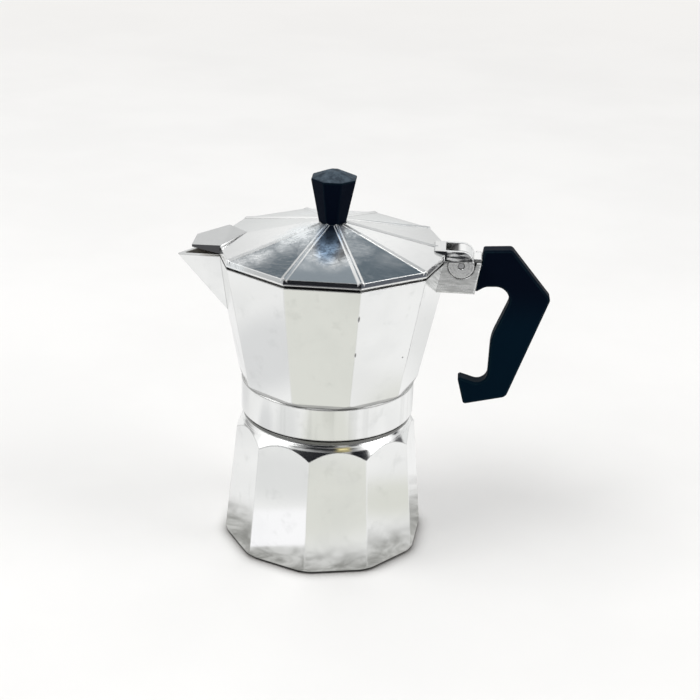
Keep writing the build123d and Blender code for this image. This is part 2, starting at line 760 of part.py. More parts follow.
def handle():
    body = extrude(Plane.XZ * handle_face(), HANDLE_T / 2, both=True)
    body = chamfer([e for e in body.edges() if abs(abs(e.center().Y) - HANDLE_T / 2) < NEAR], HANDLE_EDGE)
    body = body + (tenon_block(0) - beyond_joint())
    return body - Pos(handle_screw_x(), 0, 0) * rod(HANDLE_SCREW_R + PRESS, RIM_Z - LUG_DEPTH, RIM_Z)


def handle_screw():
    low = RIM_Z - LUG_DEPTH
    head = rod(HANDLE_SCREW_HEAD_R, low - HANDLE_SCREW_HEAD_H, low)
    head = chamfer(head.edges().group_by(Axis.Z)[0], HANDLE_SCREW_EDGE)
    shank = rod(HANDLE_SCREW_R, low, RIM_Z - TENON_DROP + TENON_H - TENON_SCREW_SHORT)
    return Pos(handle_screw_x(), 0, 0) * (head + shank)


# Lid


def roof_z(corner_r):
    return ROOF_Z + (ROOF_CORNER_R - corner_r) * ROOF_SLOPE


def lid_shell():
    body = tapered(
        [
            (LID_Z, LID_CORNER_R),
            (LID_Z + LID_UPRIGHT_H, LID_CORNER_R),
            (ROOF_Z, ROOF_CORNER_R),
            (KNOB_Z, KNOB_PAD_R),
        ]
    )
    seat_r = RIM_CORNER_R - LID_SEAT_INSET
    return body + tapered([(RIM_Z + LID_SEAT_GAP, seat_r), (LID_Z + CUT, seat_r)])


def lid_inside():
    wide = RIM_CORNER_R - LID_SEAT_INSET - LID_SEAT_W
    narrow = KNOB_PAD_R + KNOB_BOSS_W
    return tapered(
        [(RIM_Z - CUT, wide), (roof_z(wide) - LID_WALL, wide), (roof_z(narrow) - LID_WALL, narrow)]
    )


def hip_rib():
    """One raised strip along a hip, wider at the rim, its two slopes meeting in a narrow crest."""
    points = []
    for corner_r, width in ((KNOB_FOOT_R + RIB_GAP, RIB_KNOB_W), (ROOF_CORNER_R - RIB_GAP, RIB_RIM_W)):
        z = roof_z(corner_r)
        for side in (-1, 1):
            edge, crest = side * width / 2, side * RIB_CREST_W / 2
            points += [(corner_r, edge, z - CUT), (corner_r, edge, z), (corner_r, crest, z + RIB_H)]
    return ConvexPolyhedron(points)


def beak_wedge(inset, drop):
    """The spout's cover: a flat tongue that starts on the hip and falls to a blunt end."""
    root_x = spout_frame()[3]
    end_x = RIM_CORNER_R + BEAK_END
    apex = BEAK_APEX_X + 2 * inset
    wide, narrow = SPOUT_HALF_W + BEAK_LAP - inset, BEAK_END_HALF_W - inset
    plan = Polygon(
        (-apex, 0), (-root_x, -wide), (-end_x + inset, -narrow), (-end_x + inset, narrow), (-root_x, wide),
        align=None,
    )
    low = LID_Z if inset == 0 else RIM_Z - CUT
    body = extrude(Pos(0, 0, low) * plan, KNOB_Z - low, dir=(0, 0, 1))
    fall = math.degrees(math.atan(BEAK_FALL))
    top = roof_z(BEAK_APEX_X) + BEAK_PROUD - drop
    return body - Pos(-BEAK_APEX_X, 0, top) * Rot(0, -fall, 0) * block((-FAR, FAR), (-FAR, FAR), (0, FAR))


def hinge_slot(end_x, low):
    """Room in the lid for the middle knuckle."""
    slot_x = PIN_X - KNUCKLE_R - SLOT_GAP
    half = KNUCKLE_HALF_W + HINGE_GAP
    return block((slot_x, end_x), (-half, half), (low, KNOB_Z))


def hinge_arms():
    """Plate over the hip at the handle, forked into two arms with round knuckles about the pin."""
    root_x = RIM_CORNER_R - ARM_ROOT
    top = PIN_Z + KNUCKLE_R
    low = LUG_TOP_Z + HINGE_GAP
    plate = block((root_x, PIN_X), (-LUG_HALF_W, LUG_HALF_W), (low, top))
    plate = plate + across(KNUCKLE_R, LUG_HALF_W, PIN_X, PIN_Z)
    beyond = Pos(0, LUG_HALF_W, low) * Rot(math.degrees(math.atan(ARM_LEAN)), 0, 0)
    beyond = beyond * block((0, 2 * PIN_X), (0, LUG_DEPTH), (0, LUG_DEPTH))
    return plate - beyond - mirror(beyond, Plane.XZ) - hinge_slot(PIN_X + LUG_DEPTH, PIN_Z - LUG_DEPTH)


def lid():
    body = lid_shell()
    for k in range(SIDES):
        if k != SIDES // 2:
            body = body + Rot(0, 0, 360 * k / SIDES) * hip_rib()
    body = body + beak_wedge(0, 0)
    body = body - hinge_slot(PIN_X, RIM_Z)
    body = body + hinge_arms()
    body = body - lid_inside() - beak_wedge(BEAK_WALL, BEAK_WALL)
    body = body - across(PIN_R + PIN_PLAY, LUG_HALF_W + CUT, PIN_X, PIN_Z)
    return body - rod(SCREW_R + SCREW_PLAY, RIM_Z, KNOB_Z + CUT)


def knob():
    turn = 180 / KNOB_SIDES
    shank_z = KNOB_Z + KNOB_SHANK_H
    body = tapered(
        [(KNOB_Z, KNOB_FOOT_R), (shank_z, KNOB_TOP_R), (shank_z + KNOB_CAP_H, KNOB_FLAT_R)],
        sides=KNOB_SIDES,
        turn=turn,
    )
    body = fillet([e for e in body.edges() if e.center().Z > KNOB_Z + KNOB_EDGE], KNOB_EDGE)
    return body - rod(SCREW_R + PRESS, KNOB_Z - CUT, KNOB_Z + KNOB_SCREW_REACH + CUT)


def knob_underside_z():
    return roof_z(KNOB_PAD_R + KNOB_BOSS_W) - LID_WALL


def knob_washer():
    high = knob_underside_z()
    return rod(WASHER_R, high - WASHER_T, high) - rod(SCREW_R + SCREW_PLAY, high - 2 * WASHER_T, high + CUT)


def knob_screw():
    high = knob_underside_z() - WASHER_T
    head = rod(SCREW_HEAD_R, high - SCREW_HEAD_H, high)
    head = chamfer(head.edges().group_by(Axis.Z)[0], SCREW_EDGE)
    return head + rod(SCREW_R, high, KNOB_Z + KNOB_SCREW_REACH)


def save(name, body):
    export_step(body, "parts/" + name + ".step")


place = valve_place()
save("boiler", boiler())
save("valve_washer", place * valve_washer())
save("valve_body", place * valve_body())
save("valve_poppet", place * valve_poppet())
save("valve_cap", place * valve_cap())
save("valve_spring", place * valve_spring())
save("funnel_basket", funnel_basket())
save("funnel_tube", funnel_tube())
save("funnel_screen", funnel_screen())
save("gasket", gasket())
save("filter_plate", filter_plate())
save("collector", collector())
save("column", column())
save("hinge_pin", hinge_pin())
save("handle", handle())
save("handle_screw", handle_screw())
save("lid", lid())
save("knob", knob())
save("knob_washer", knob_washer())
save("knob_screw", knob_screw())
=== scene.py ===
"""Looks of the moka pot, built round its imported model. Metres, in the model's own frame."""

import json
import math

import bmesh
import bpy
from mathutils import Matrix, Vector


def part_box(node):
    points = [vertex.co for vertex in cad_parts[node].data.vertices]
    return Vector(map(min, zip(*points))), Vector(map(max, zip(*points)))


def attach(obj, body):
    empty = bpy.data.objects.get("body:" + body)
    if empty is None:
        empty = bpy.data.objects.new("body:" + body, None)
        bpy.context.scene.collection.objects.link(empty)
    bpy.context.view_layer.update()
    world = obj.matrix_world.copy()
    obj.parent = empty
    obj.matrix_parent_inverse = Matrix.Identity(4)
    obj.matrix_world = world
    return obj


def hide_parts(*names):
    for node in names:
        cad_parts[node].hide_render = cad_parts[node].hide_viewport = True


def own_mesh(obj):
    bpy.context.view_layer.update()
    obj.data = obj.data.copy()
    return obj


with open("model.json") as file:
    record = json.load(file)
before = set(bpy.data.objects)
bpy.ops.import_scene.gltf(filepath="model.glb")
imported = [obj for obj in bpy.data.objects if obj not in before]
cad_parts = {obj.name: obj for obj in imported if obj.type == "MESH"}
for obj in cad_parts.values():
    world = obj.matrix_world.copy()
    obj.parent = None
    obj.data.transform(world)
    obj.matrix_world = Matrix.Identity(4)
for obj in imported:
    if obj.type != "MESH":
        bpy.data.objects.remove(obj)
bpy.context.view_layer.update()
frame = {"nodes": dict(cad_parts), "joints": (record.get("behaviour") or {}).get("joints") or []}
nodes = frame["nodes"]
joints = {joint["name"]: joint for joint in frame["joints"]}

MM = 0.001
ACROSS = (1, 1, 0)  # counts the way across the pot, and not the height

# Camera, as fitted to the photograph
CAMERA_PLACE = Vector((41.83, -585.83, 328.32)) * MM
CAMERA_TARGET = Vector((8.83, 0.64, 83.1)) * MM
CAMERA_ROLL = math.radians(2.17)
CAMERA_LENS = 78.75
CAMERA_SENSOR = 36.0
CAMERA_NEAR = 0.01

# Lights, in metres and watts
LIGHTS = (  # name, place, size, power
    ("key", (-1.5, -0.7, 2.3), 1.8, 36),
    ("fill", (1.9, -0.3, 1.6), 1.6, 15),
)
LIGHT_TARGET = Vector((0, 0, 0.08))

# Sky: plain for the camera and for diffuse light
PALE = (0.925, 0.91, 0.89, 1)
DIFFUSE_WORLD = 0.72

# Sky as the metal mirrors it, with heights and widths in degrees
SKY = (1.0, 1.0, 0.995, 1)
ZENITH = (0.66, 0.665, 0.665, 1)
ZENITH_RISE = (45, 68)
HORIZON = (0.82, 0.83, 0.825, 1)
HORIZON_RISE = (6, 12)
WINDOW = (1.35, 1.35, 1.34, 1)
DIM_SIDE = (0.36, 0.36, 0.36, 1)
DARK_SIDE = (0.10, 0.10, 0.105, 1)
BACK_GLOW = (0.80, 0.805, 0.80, 1)
CURTAIN = (0.66, 0.665, 0.665, 1)
LOW_ROOM = (0.10, 0.11, 0.13, 1)
DARK_ROOM = (0.008, 0.009, 0.012, 1)
LAMP = (0.92, 0.91, 0.87, 1)
ALL_DOWN = (-92, -91)  # the start of what reaches all the way down
SKY_PATCHES = (  # azimuth, reach round it with its fade, where it starts and ends upwards, tone
    (-159, (19, 23), (10, 14), (34, 38), WINDOW),
    (-10, (16, 20), (11, 15), (36, 40), WINDOW),
    (153, (13, 18), (-15, -10), (10, 15), DIM_SIDE),
    (20, (7, 10), (3, 6), (13, 16), DARK_SIDE),
    (84, (8, 11), (2, 5), (12, 15), BACK_GLOW),
    (114, (14, 24), (7, 12), (16, 23), CURTAIN),
    (-80, (70, 97), ALL_DOWN, (12, 20), LOW_ROOM),
    (-82, (52, 59), ALL_DOWN, (58, 70), DARK_ROOM),
    (-59, (4, 11), (28, 33), (44, 50), LAMP),
)
WALL_PATCH = (83, (26.5, 30), (30, 36.5), (50, 62))
WALL_LOW = (0.10, 0.135, 0.165, 1)
WALL_HIGH = (0.34, 0.39, 0.43, 1)
WALL_CHANGE = (40.5, 47.5)  # where the wall's low tone goes over into its high one

# Floor as the camera sees it
FLOOR_SIZE = 20.0
FLOOR_REACH = (500, 1800)  # where the lit floor goes over into the plain backdrop, in millimetres
FLOOR_COLOR = (0.86, 0.855, 0.845, 1)
FLOOR_CLOUD = 0.965  # tone of its cloudy places, as a share of the plain one
FLOOR_SHADE = (0.30, 0.29, 0.28, 1)

# Floor as the metal mirrors it, in millimetres
STONE = (0.97, 0.97, 0.965, 1)
STONE_VEIN = (0.90, 0.90, 0.895, 1)
STONE_SPOTS = (  # duller places on it: place, where each starts to fade and ends, tone
    ((15, -155, 0), 55, 105, (0.775, 0.78, 0.73, 1)),
    ((22, -196, 0), 12, 40, (0.69, 0.695, 0.645, 1)),
    ((-143, -38, 0), 18, 44, (0.76, 0.765, 0.77, 1)),
    ((-112, -112, 0), 24, 56, (0.80, 0.805, 0.80, 1)),
    ((104, -20, 0), 10, 40, (0.76, 0.765, 0.71, 1)),
    ((60, 190, 0), 30, 110, (0.70, 0.705, 0.70, 1)),
    ((-150, 120, 0), 30, 90, (0.78, 0.78, 0.78, 1)),
)
# the pot's shadow, painted on the mirrored floor close to its foot
STONE_NEAR_SHADOW = (0.30, 0.30, 0.285, 1)
STONE_NEAR_SHADOW_VEIN = (0.58, 0.58, 0.56, 1)
NEAR_REACH = (48, 88)
NEAR_WANDER = 9
STONE_FAR_SHADE = (0.10, 0.10, 0.11, 1)
FAR_DEPTH = (250, 420)  # towards the camera, over which shade is painted
STONE_BACK = (0.76, 0.77, 0.765, 1)
BACK_DEPTH = (-1200, -500)
CARD = (1.05, 1.045, 1.06, 1)  # a white card that lies before the pot
CARD_PLACE = (-52.4, -67.2, 0)
CARD_X = (-21, 21)
CARD_Y = (-28, 28)
CARD_SOFT = (2.5, 4)
CARD_TURN = math.radians(-161)

# Tones of the aluminium
ALUMINIUM = (0.90, 0.905, 0.90, 1)
FILM = (0.84, 0.85, 0.845, 1)
MARK = (0.66, 0.67, 0.66, 1)
BAND_STREAK = (0.60, 0.61, 0.60, 1)
SCUFF = (0.50, 0.51, 0.51, 1)
PIN_RING = (0.25, 0.25, 0.25, 1)
# dark lines painted along the sharp edges, as shade
EDGE_SHADE = (0.16, 0.16, 0.16, 1)
# shade painted on the ledge under the facets' overhang
LEDGE_SHADE = (0.42, 0.42, 0.41, 1)
BEAD = (0.12, 0.12, 0.115, 1)
GLINT_GOLD = (0.93, 0.83, 0.46, 1)
# near black: painted shade in gaps, at the foot and on the lug's back, and the dark of the knocks
SHADE_AND_KNOCKS = (0.018, 0.016, 0.015, 1)
STAIN = (0.62, 0.60, 0.56, 1)
STAIN_BROWN = (0.44, 0.38, 0.31, 1)
HAZE = (0.83, 0.86, 0.87, 1)
BLUE_HAZE = (0.40, 0.60, 0.86, 1)
# painted shade, darker towards the lid's rim
LID_RIM_SHADE = (0.70, 0.705, 0.705, 1)
MOTTLE = (0.70, 0.73, 0.75, 1)
# painted shade on the spout cover's sides
COVER_SHADE = (0.075, 0.075, 0.08, 1)
SHEET_ALUMINIUM = (0.80, 0.805, 0.81, 1)

# Tones of the other finishes
STEEL = (0.62, 0.62, 0.63, 1)
BRASS = (0.72, 0.55, 0.28, 1)
METAL_CLOUD = 0.82  # tone of a plain metal's cloudy places, as a share of its own
RUBBER = (0.78, 0.76, 0.70, 1)
RUBBER_DARK = (0.62, 0.57, 0.48, 1)
PLASTIC = (0.0016, 0.0026, 0.0080, 1)
PLASTIC_BLUE = (0.0012, 0.0066, 0.0145, 1)
PLASTIC_SHEEN = (0.25, 0.7, 1.0, 1)
PLASTIC_EDGE_HIGHLIGHT = (0.006, 0.018, 0.024, 1)
DUST = (0.08, 0.105, 0.13, 1)

# Fine relief, wear and the reach of painted shade, in millimetres
EDGE_WIDTH = 0.7
LID_EDGE_WIDTH = 0.42
EDGE_TURN = (0.962, 0.992)  # cosine between eased and flat normals, on an edge and off it
BODY_RIPPLE = 0.05
LID_RIPPLE = 0.04
SCRATCH_DEPTH = 0.006
NICK_DEPTH = 0.2
PLASTIC_GRAIN = 0.008
RUBBER_GRAIN = 0.015
BODY_GAP = (1.8, 0.25, 0.62)  # width of gaps that are painted in shade, and how open a fully shaded and an unshaded one is
METAL_GAP = (1.2, 0.25, 0.7)
FLOOR_GAP = (7, 0.4, 0.95)
PIN_WEAR_START = (2.0, 3.0)  # from the middle of the hinge pin
PIN_WEAR_END = (4.4, 5.2)
PIN_WEAR_WANDER = 1.6
PIN_WEAR_RATE = 5.0  # rings, in radians per millimetre

# Places on the pot, in millimetres, most of them as the span over which a finish comes in or ends
PIN_PLACE = tuple(c / MM for c in joints["lid_hinge"]["pos_m"])
ARMS_X = (46.0, 47.0)
LUG_X = (40.0, 41.5)
LUG_Y = (8.4, 8.6)
LUG_Z = (112.5, 113.0)
COVER_X = (-43.8, -42.8)  # where the spout cover leaves the lid
COVER_DULL_X = (-43.8, -40.8)
INSIDE_R = (33, 34)  # what faces up within this is an inside floor
# below this the foot's lowest edge is painted dark, as contact shade
FOOT_Z = (0.8, 1.3)
SHOULDER_Z = (52.8, 56.2)  # the turned shoulder above the scallops
SHOULDER_DOME = 0.024  # how much its light bends over, as relief per square of the way up
SHOULDER_RINGS_Z = (53.2, 55.8)
GLINT_PLACE = (9.5, -34.1, 53.6)  # where a golden glint is painted on the shoulder, as a tint that turns the lamp's reflection gold
GLINT_REACH = (2, 4.5)
GLINT_Z = (53.2, 54.4)
BEAD_Z = (55.8, 57.7)  # the bead on top of the shoulder, painted near black under the band's edge
BAND_Z = (57.9, 72.2)
# the ledge where the facets overhang the band, painted with shade
LEDGE_Z = (71.7, 73.4)
PLASTIC_BLUE_Z = (95, 118)
CAP_Z = (149.0, 150.0)  # above this the knob gathers dust
CLEAN_R = (12, 18)  # the lid's painted shade in gaps starts outside the knob's foot
OUTER_R = (16, 48)  # over this the lid is painted darker outwards, as shade
RIBS_R = (37, 42)  # over this the matt edges of its ribs end
DARK_PLACE = (0, -11, 0)  # a clear place in the haze, before the knob
DARK_REACH = (3, 10)
BLUE_PLACE = (0, -17, 0)
BLUE_REACH = (8, 20)
NARROW = (3.0, 1, 0)  # makes both narrow sideways
WANDER = 7.0  # how ragged the edges of the wiped patches are
SMUDGES = (  # dull wiped patches on the lid: place, reach, strength
    ((-11, -9, 0), 11, 0.75),
    ((-15, -14, 0), 10, 0.46),
    ((-18, -20, 0), 12, 0.26),
    ((-27, -26, 0), 11, 0.42),
    ((-34, -31, 0), 10, 0.48),
    ((-8, -18, 0), 9, 0.30),
    ((-4, -27, 0), 9, 0.56),
    ((2, -32, 0), 9, 0.44),
    ((8, -30, 0), 7, 0.42),
    ((-7, -35, 0), 7, 0.25),
    ((0, -23, 0), 10, 0.32),
    ((0, -15, 0), 10, 0.12),
    ((8, -9, 0), 8, 0.40),
    ((10, -19, 0), 12, 0.24),
    ((23, -23, 0), 10, 0.12),
    ((-12, 28, 0), 16, 0.30),
    ((24, 22, 0), 15, 0.30),
)
NICKS = (  # small knocks on the collector: place, size, and how far each runs up and down
    ((14.3, -43.3, 114.2), 0.55, 3.5),
    ((13.3, -40.2, 98.0), 0.45, 3.0),
    ((31.3, -25.7, 92.3), 0.40, 1.0),
    ((-3.0, -42.0, 105.0), 0.30, 1.5),
    ((3.5, -40.5, 88.0), 0.30, 1.0),
)
NICK_CORE = 0.4  # share of a knock's size that is full depth

# Sizes of the pieces made here, in millimetres
MERGE = 0.001  # points closer than this become one
SHARP = math.radians(35)  # edges sharper than this stay sharp
RING_STEPS = 144
SPRING_R = 1.75
SPRING_WIRE_R = 0.25
SPRING_TURNS = 5
SPRING_DEAD_TURNS = 0.75
SPRING_STEPS = 36  # per turn
SPRING_SIDES = 10
GASKET_ROUND = 0.9
GASKET_STEPS = 6  # per rounded corner
GASKET_GROOVE = 0.35
GROOVE_HALF = (0.7, 0.35)  # half the groove's width, at its mouth and at its floor
THREAD_LEAD = 3.0
THREAD_DEPTH = 0.9
THREAD_ROOT_HALF = 0.8
THREAD_CREST_HALF = 0.25
THREAD_TURNS = 2.1
THREAD_STEPS = 96  # per turn
THREAD_SINK = 0.05
THREAD_START = 1.2  # above the band's lower edge
THREAD_ANGLE = 0.6
THREAD_GROWTH = 8  # the ridge reaches its full height in one turn over this
THREAD_END_HEIGHT = 0.02  # share of the ridge's height and width at its ends
THREAD_END_WIDTH = 0.4
NECK_R = 31.6
SKIRT_R = 33.0
SCREW_STEPS = 48
SCREW_EDGE = 0.35
SCREW_PITCH = 0.7
SCREW_THREAD = 0.25
SLOT_SHARE = 0.4  # width of a screw's slot, and twice its depth, over the head's radius
SLOT_LENGTH = 3  # length of the box that cuts it, over the head's radius
PLATE_SIDES = 128
HOLE_R = 0.5
HOLE_PITCH = 2.7
HOLE_MARGIN = 2.4
HOLE_SIDES = 10


# Shader building


def add(tree, kind, inputs=(), **settings):
    """Adds a shader node. Its inputs, by name or place, are values or other nodes' sockets."""
    made = tree.nodes.new("ShaderNode" + kind)
    for key, value in settings.items():
        setattr(made, key, value)
    for key, value in dict(inputs).items():
        if isinstance(value, bpy.types.NodeSocket):
            tree.links.new(value, made.inputs[key])
        else:
            made.inputs[key].default_value = value
    return made.outputs


def math_node(tree, operation, first, second=0.0):
    return add(tree, "Math", {0: first, 1: second}, operation=operation)[0]


def gathered(tree, operation, values):
    """All values put together by one operation, from the first to the last."""
    result = values[0]
    for value in values[1:]:
        result = math_node(tree, operation, result, value)
    return result


def product(tree, *values):
    return gathered(tree, "MULTIPLY", values)


def total(tree, *values):
    return gathered(tree, "ADD", values)


def strongest(tree, *values):
    return gathered(tree, "MAXIMUM", values)


def fade(tree, value, low, high, start=0.0, end=1.0):
    """Goes smoothly from start to end as the value goes from low to high."""
    inputs = {"Value": value, "From Min": low, "From Max": high, "To Min": start, "To Max": end}
    return add(tree, "MapRange", inputs, interpolation_type="SMOOTHSTEP")[0]


def fade_out(tree, value, low, high):
    """Goes smoothly from one to none as the value goes from low to high."""
    return fade(tree, value, low, high, 1.0, 0.0)


def fade_mm(tree, value, span, start=0.0, end=1.0):
    """Goes smoothly from start to end as a place in metres crosses a span in millimetres."""
    return fade(tree, value, span[0] * MM, span[1] * MM, start, end)


def between(tree, value, span, soft):
    """One within a span in millimetres, fading out over the soft part beyond it."""
    low, high = span
    rise = fade_mm(tree, value, (low - soft, low))
    return product(tree, rise, fade_mm(tree, value, (high, high + soft), 1, 0))


def mix_color(tree, share, first, second):
    return add(tree, "Mix", {0: share, 6: first, 7: second}, data_type="RGBA")[2]


def layered(tree, tone, *layers):
    """A tone with others laid over it in turn, each given as its share and its tone."""
    for share, upper in layers:
        tone = mix_color(tree, share, tone, upper)
    return tone


def darker(color, share):
    return tuple(share * c for c in color[:3]) + (1,)


def vector_math(tree, operation, first, second=(0, 0, 0)):
    return add(tree, "VectorMath", {0: first, 1: second}, operation=operation)


def part(tree, vector, axis):
    """A vector's part along one axis, X, Y or Z."""
    return add(tree, "SeparateXYZ", {0: vector})[axis]


def flat_part(tree, vector):
    return vector_math(tree, "MULTIPLY", vector, ACROSS)[0]


def metres(place):
    return tuple(c * MM for c in place)


def distance_to(tree, spot, place, across=(1, 1, 1)):
    """Distance in millimetres from a place, counted only along the given axes."""
    apart = vector_math(tree, "SUBTRACT", spot, metres(place))[0]
    apart = vector_math(tree, "MULTIPLY", apart, tuple(c / MM for c in across))[0]
    return vector_math(tree, "LENGTH", apart)["Value"]


def off_axis(tree, spot):
    """Distance in millimetres from the pot's axis."""
    return distance_to(tree, spot, (0, 0, 0), ACROSS)


def stretched(tree, coords, scale):
    return add(tree, "Mapping", {"Vector": coords, "Scale": scale})[0]


def noise(tree, coords, scale, detail=3.0, roughness=0.55, distortion=0.0):
    """Noise with so many features per millimetre."""
    inputs = {
        "Vector": coords, "Scale": scale / MM, "Detail": detail, "Roughness": roughness,
        "Distortion": distortion,
    }
    return add(tree, "TexNoise", inputs)["Fac"]


def bump(tree, height, depth, normal=None):
    """Relief of the given depth in millimetres, over other normals when they are given."""
    inputs = {"Height": height, "Distance": depth * MM, "Strength": 1.0}
    if normal is not None:
        inputs["Normal"] = normal
    return add(tree, "Bump", inputs)[0]


def new_material(name):
    """An empty material with its tree, its shader and the piece's own coordinates."""
    material = bpy.data.materials.new(name)
    material.use_nodes = True
    tree = material.node_tree
    shader = tree.nodes["Principled BSDF"]
    coords = add(tree, "TexCoord")
    return material, tree, shader, coords


def join(tree, shader, name, socket):
    tree.links.new(socket, shader.inputs[name])


# Wear and painted shade that several finishes share


def crevice(tree, reach, full, clean):
    """How deep in a gap or corner a point lies, for gaps of about the given reach in millimetres."""
    open_sky = add(tree, "AmbientOcclusion", {"Distance": reach * MM}, samples=6)["AO"]
    return fade_out(tree, open_sky, full, clean)


def eased_edges(tree, width):
    """Normals rounded over sharp edges, to about the given width in millimetres, and where that is."""
    eased = add(tree, "Bevel", {"Radius": width * MM}, samples=4)[0]
    flat = add(tree, "NewGeometry")["Normal"]
    turn = vector_math(tree, "DOT_PRODUCT", eased, flat)["Value"]
    return eased, fade_out(tree, turn, *EDGE_TURN)


def pin_scratches(tree, spot):
    """Worn rings round the hinge pin, broken up by noise."""
    apart = distance_to(tree, spot, PIN_PLACE, (1, 0, 1))
    broken = noise(tree, spot, 0.35)
    wander = total(tree, apart, product(tree, broken, PIN_WEAR_WANDER))
    rings = math_node(tree, "SINE", product(tree, wander, PIN_WEAR_RATE))
    near = product(tree, fade(tree, apart, *PIN_WEAR_START), fade_out(tree, apart, *PIN_WEAR_END))
    return product(tree, fade(tree, rings, 0.55, 0.95), near, fade(tree, broken, 0.45, 0.6))


# Finish of the two halves


def hairlines(tree, spot):
    """Fine scratches, up and down and across."""
    up = noise(tree, stretched(tree, spot, (1, 1, 0.06)), 2.6, detail=2.0)
    across = noise(tree, stretched(tree, spot, (0.08, 0.5, 1)), 2.2, detail=2.0)
    return product(tree, up, across)


def inside_faces(tree, spot, normal):
    """The faces that look inwards, and the floors inside."""
    outward = vector_math(tree, "NORMALIZE", flat_part(tree, spot))[0]
    facing = vector_math(tree, "DOT_PRODUCT", outward, normal)["Value"]
    inward = fade_out(tree, facing, -0.25, -0.05)
    up = fade(tree, part(tree, normal, "Z"), 0.7, 0.9)
    middle = fade_out(tree, off_axis(tree, spot), *INSIDE_R)
    return strongest(tree, inward, product(tree, up, middle))


def hinge_lug(tree, spot):
    aside = math_node(tree, "ABSOLUTE", part(tree, spot, "Y"))
    return product(
        tree,
        fade_mm(tree, part(tree, spot, "X"), LUG_X),
        fade_mm(tree, aside, LUG_Y, 1, 0),
        fade_mm(tree, part(tree, spot, "Z"), LUG_Z),
    )


def nick_marks(tree, spot):
    """A few small knocks on the edges, by place and size."""
    marks = []
    for place, size, run in NICKS:
        apart = distance_to(tree, spot, place, (1, 1, 1 / run))
        marks.append(fade_out(tree, apart, size * NICK_CORE, size))
    return strongest(tree, *marks)


def shoulder_rise(tree, spot):
    """The square of how far up the shoulder a point lies, in millimetres."""
    low, high = SHOULDER_Z
    above = math_node(tree, "SUBTRACT", product(tree, part(tree, spot, "Z"), 1 / MM), low)
    climb = math_node(tree, "MINIMUM", strongest(tree, above, 0.0), high - low)
    return product(tree, climb, climb)


def shoulder_rings(tree, spot):
    """Fine rings turned into the shoulder."""
    lines = noise(tree, stretched(tree, spot, (0.03, 0.03, 1)), 1.1, roughness=0.6)
    within = between(tree, part(tree, spot, "Z"), SHOULDER_RINGS_Z, 0.8)
    return product(tree, fade(tree, lines, 0.42, 0.6), within)


# A painted golden glint, where the shoulder mirrors the lamp.
def golden_glint(tree, spot):
    near = fade_out(tree, distance_to(tree, spot, GLINT_PLACE), *GLINT_REACH)
    return product(tree, near, between(tree, part(tree, spot, "Z"), GLINT_Z, 0.4))


def band_streaks(tree, spot):
    """Upright streaks on the collector's plain band."""
    drawn = noise(tree, stretched(tree, spot, (1, 1, 0.02)), 0.16, detail=2.0)
    within = between(tree, part(tree, spot, "Z"), BAND_Z, 0.4)
    return product(tree, fade(tree, drawn, 0.48, 0.66), within)


def lug_wear(tree, spot, normal, lug):
    """The lug's sides, the scuffs on them, and its back, which lies in the dark and is painted with shade.
    """
    across = math_node(tree, "ABSOLUTE", part(tree, normal, "Y"))
    side = product(tree, lug, fade(tree, across, 0.8, 0.9))
    worn = noise(tree, stretched(tree, spot, (0.12, 1, 1)), 1.6, detail=4.0, roughness=0.7)
    scuffs = product(tree, side, fade(tree, worn, 0.42, 0.62))
    back = product(tree, lug, fade_out(tree, part(tree, normal, "X"), -0.35, -0.1), 0.93)
    return side, scuffs, back


def body_places(tree, spot, normal):
    """Where the two halves are filmy, worn or stained, and where shade and a golden glint are painted on
    them, from none to one, by name.
    """
    height = part(tree, spot, "Z")
    lug = hinge_lug(tree, spot)
    side, scuffs, lug_back_shade = lug_wear(tree, spot, normal, lug)
    film = noise(tree, spot, 0.035, detail=4.0, roughness=0.6, distortion=0.5)
    marks = noise(tree, spot, 0.13, detail=4.0, roughness=0.6)
    gaps = product(tree, crevice(tree, *BODY_GAP), fade(tree, side, 0, 1, 1.0, 0.45))
    off_lug = math_node(tree, "SUBTRACT", 1.0, lug)
    return {
        "film": fade(tree, film, 0.45, 0.72),
        "marks": fade(tree, marks, 0.54, 0.76),
        "hairlines": hairlines(tree, spot),
        "lug_side": side,
        "scuffs": scuffs,
        "pin_rings": product(tree, lug, pin_scratches(tree, spot)),
        "stain": product(tree, inside_faces(tree, spot, normal), off_lug),
        # painted shade: deep in gaps, at the foot's lowest edge and on the lug's back
        "painted_shade": strongest(tree, gaps, fade_mm(tree, height, FOOT_Z, 0.97, 0), lug_back_shade),
        "ledge": between(tree, height, LEDGE_Z, 0.4),
        "band_streaks": band_streaks(tree, spot),
        "bead": between(tree, height, BEAD_Z, 0.2),
        "painted_glint": golden_glint(tree, spot),
        "turned_rings": shoulder_rings(tree, spot),
        "knocks": nick_marks(tree, spot),
    }


def body_tone(tree, spot, at, edges):
    """Aluminium with film, wear, stain and knocks laid over it, painted shade along its edges, on the
    ledge, in its gaps, at the foot and on the lug's back, the bead painted near black, and a painted
    golden glint.
    """
    patchy = fade(tree, noise(tree, spot, 0.08, detail=5.0, roughness=0.7), 0.35, 0.65)
    return layered(
        tree, ALUMINIUM,
        (product(tree, at["film"], 0.4), FILM),
        (product(tree, at["marks"], 0.3), MARK),
        (fade(tree, at["band_streaks"], 0, 1, 0, 0.28), BAND_STREAK),
        (product(tree, at["scuffs"], 0.55), SCUFF),
        (product(tree, at["pin_rings"], 0.5), PIN_RING),
        (product(tree, edges, 0.45), EDGE_SHADE),
        (at["stain"], mix_color(tree, patchy, STAIN, STAIN_BROWN)),
        (product(tree, at["ledge"], 0.6), LEDGE_SHADE),
        (product(tree, at["bead"], 0.9), BEAD),
        (at["painted_glint"], GLINT_GOLD),
        (product(tree, at["knocks"], 0.75), SHADE_AND_KNOCKS),
        (at["painted_shade"], SHADE_AND_KNOCKS),
    )


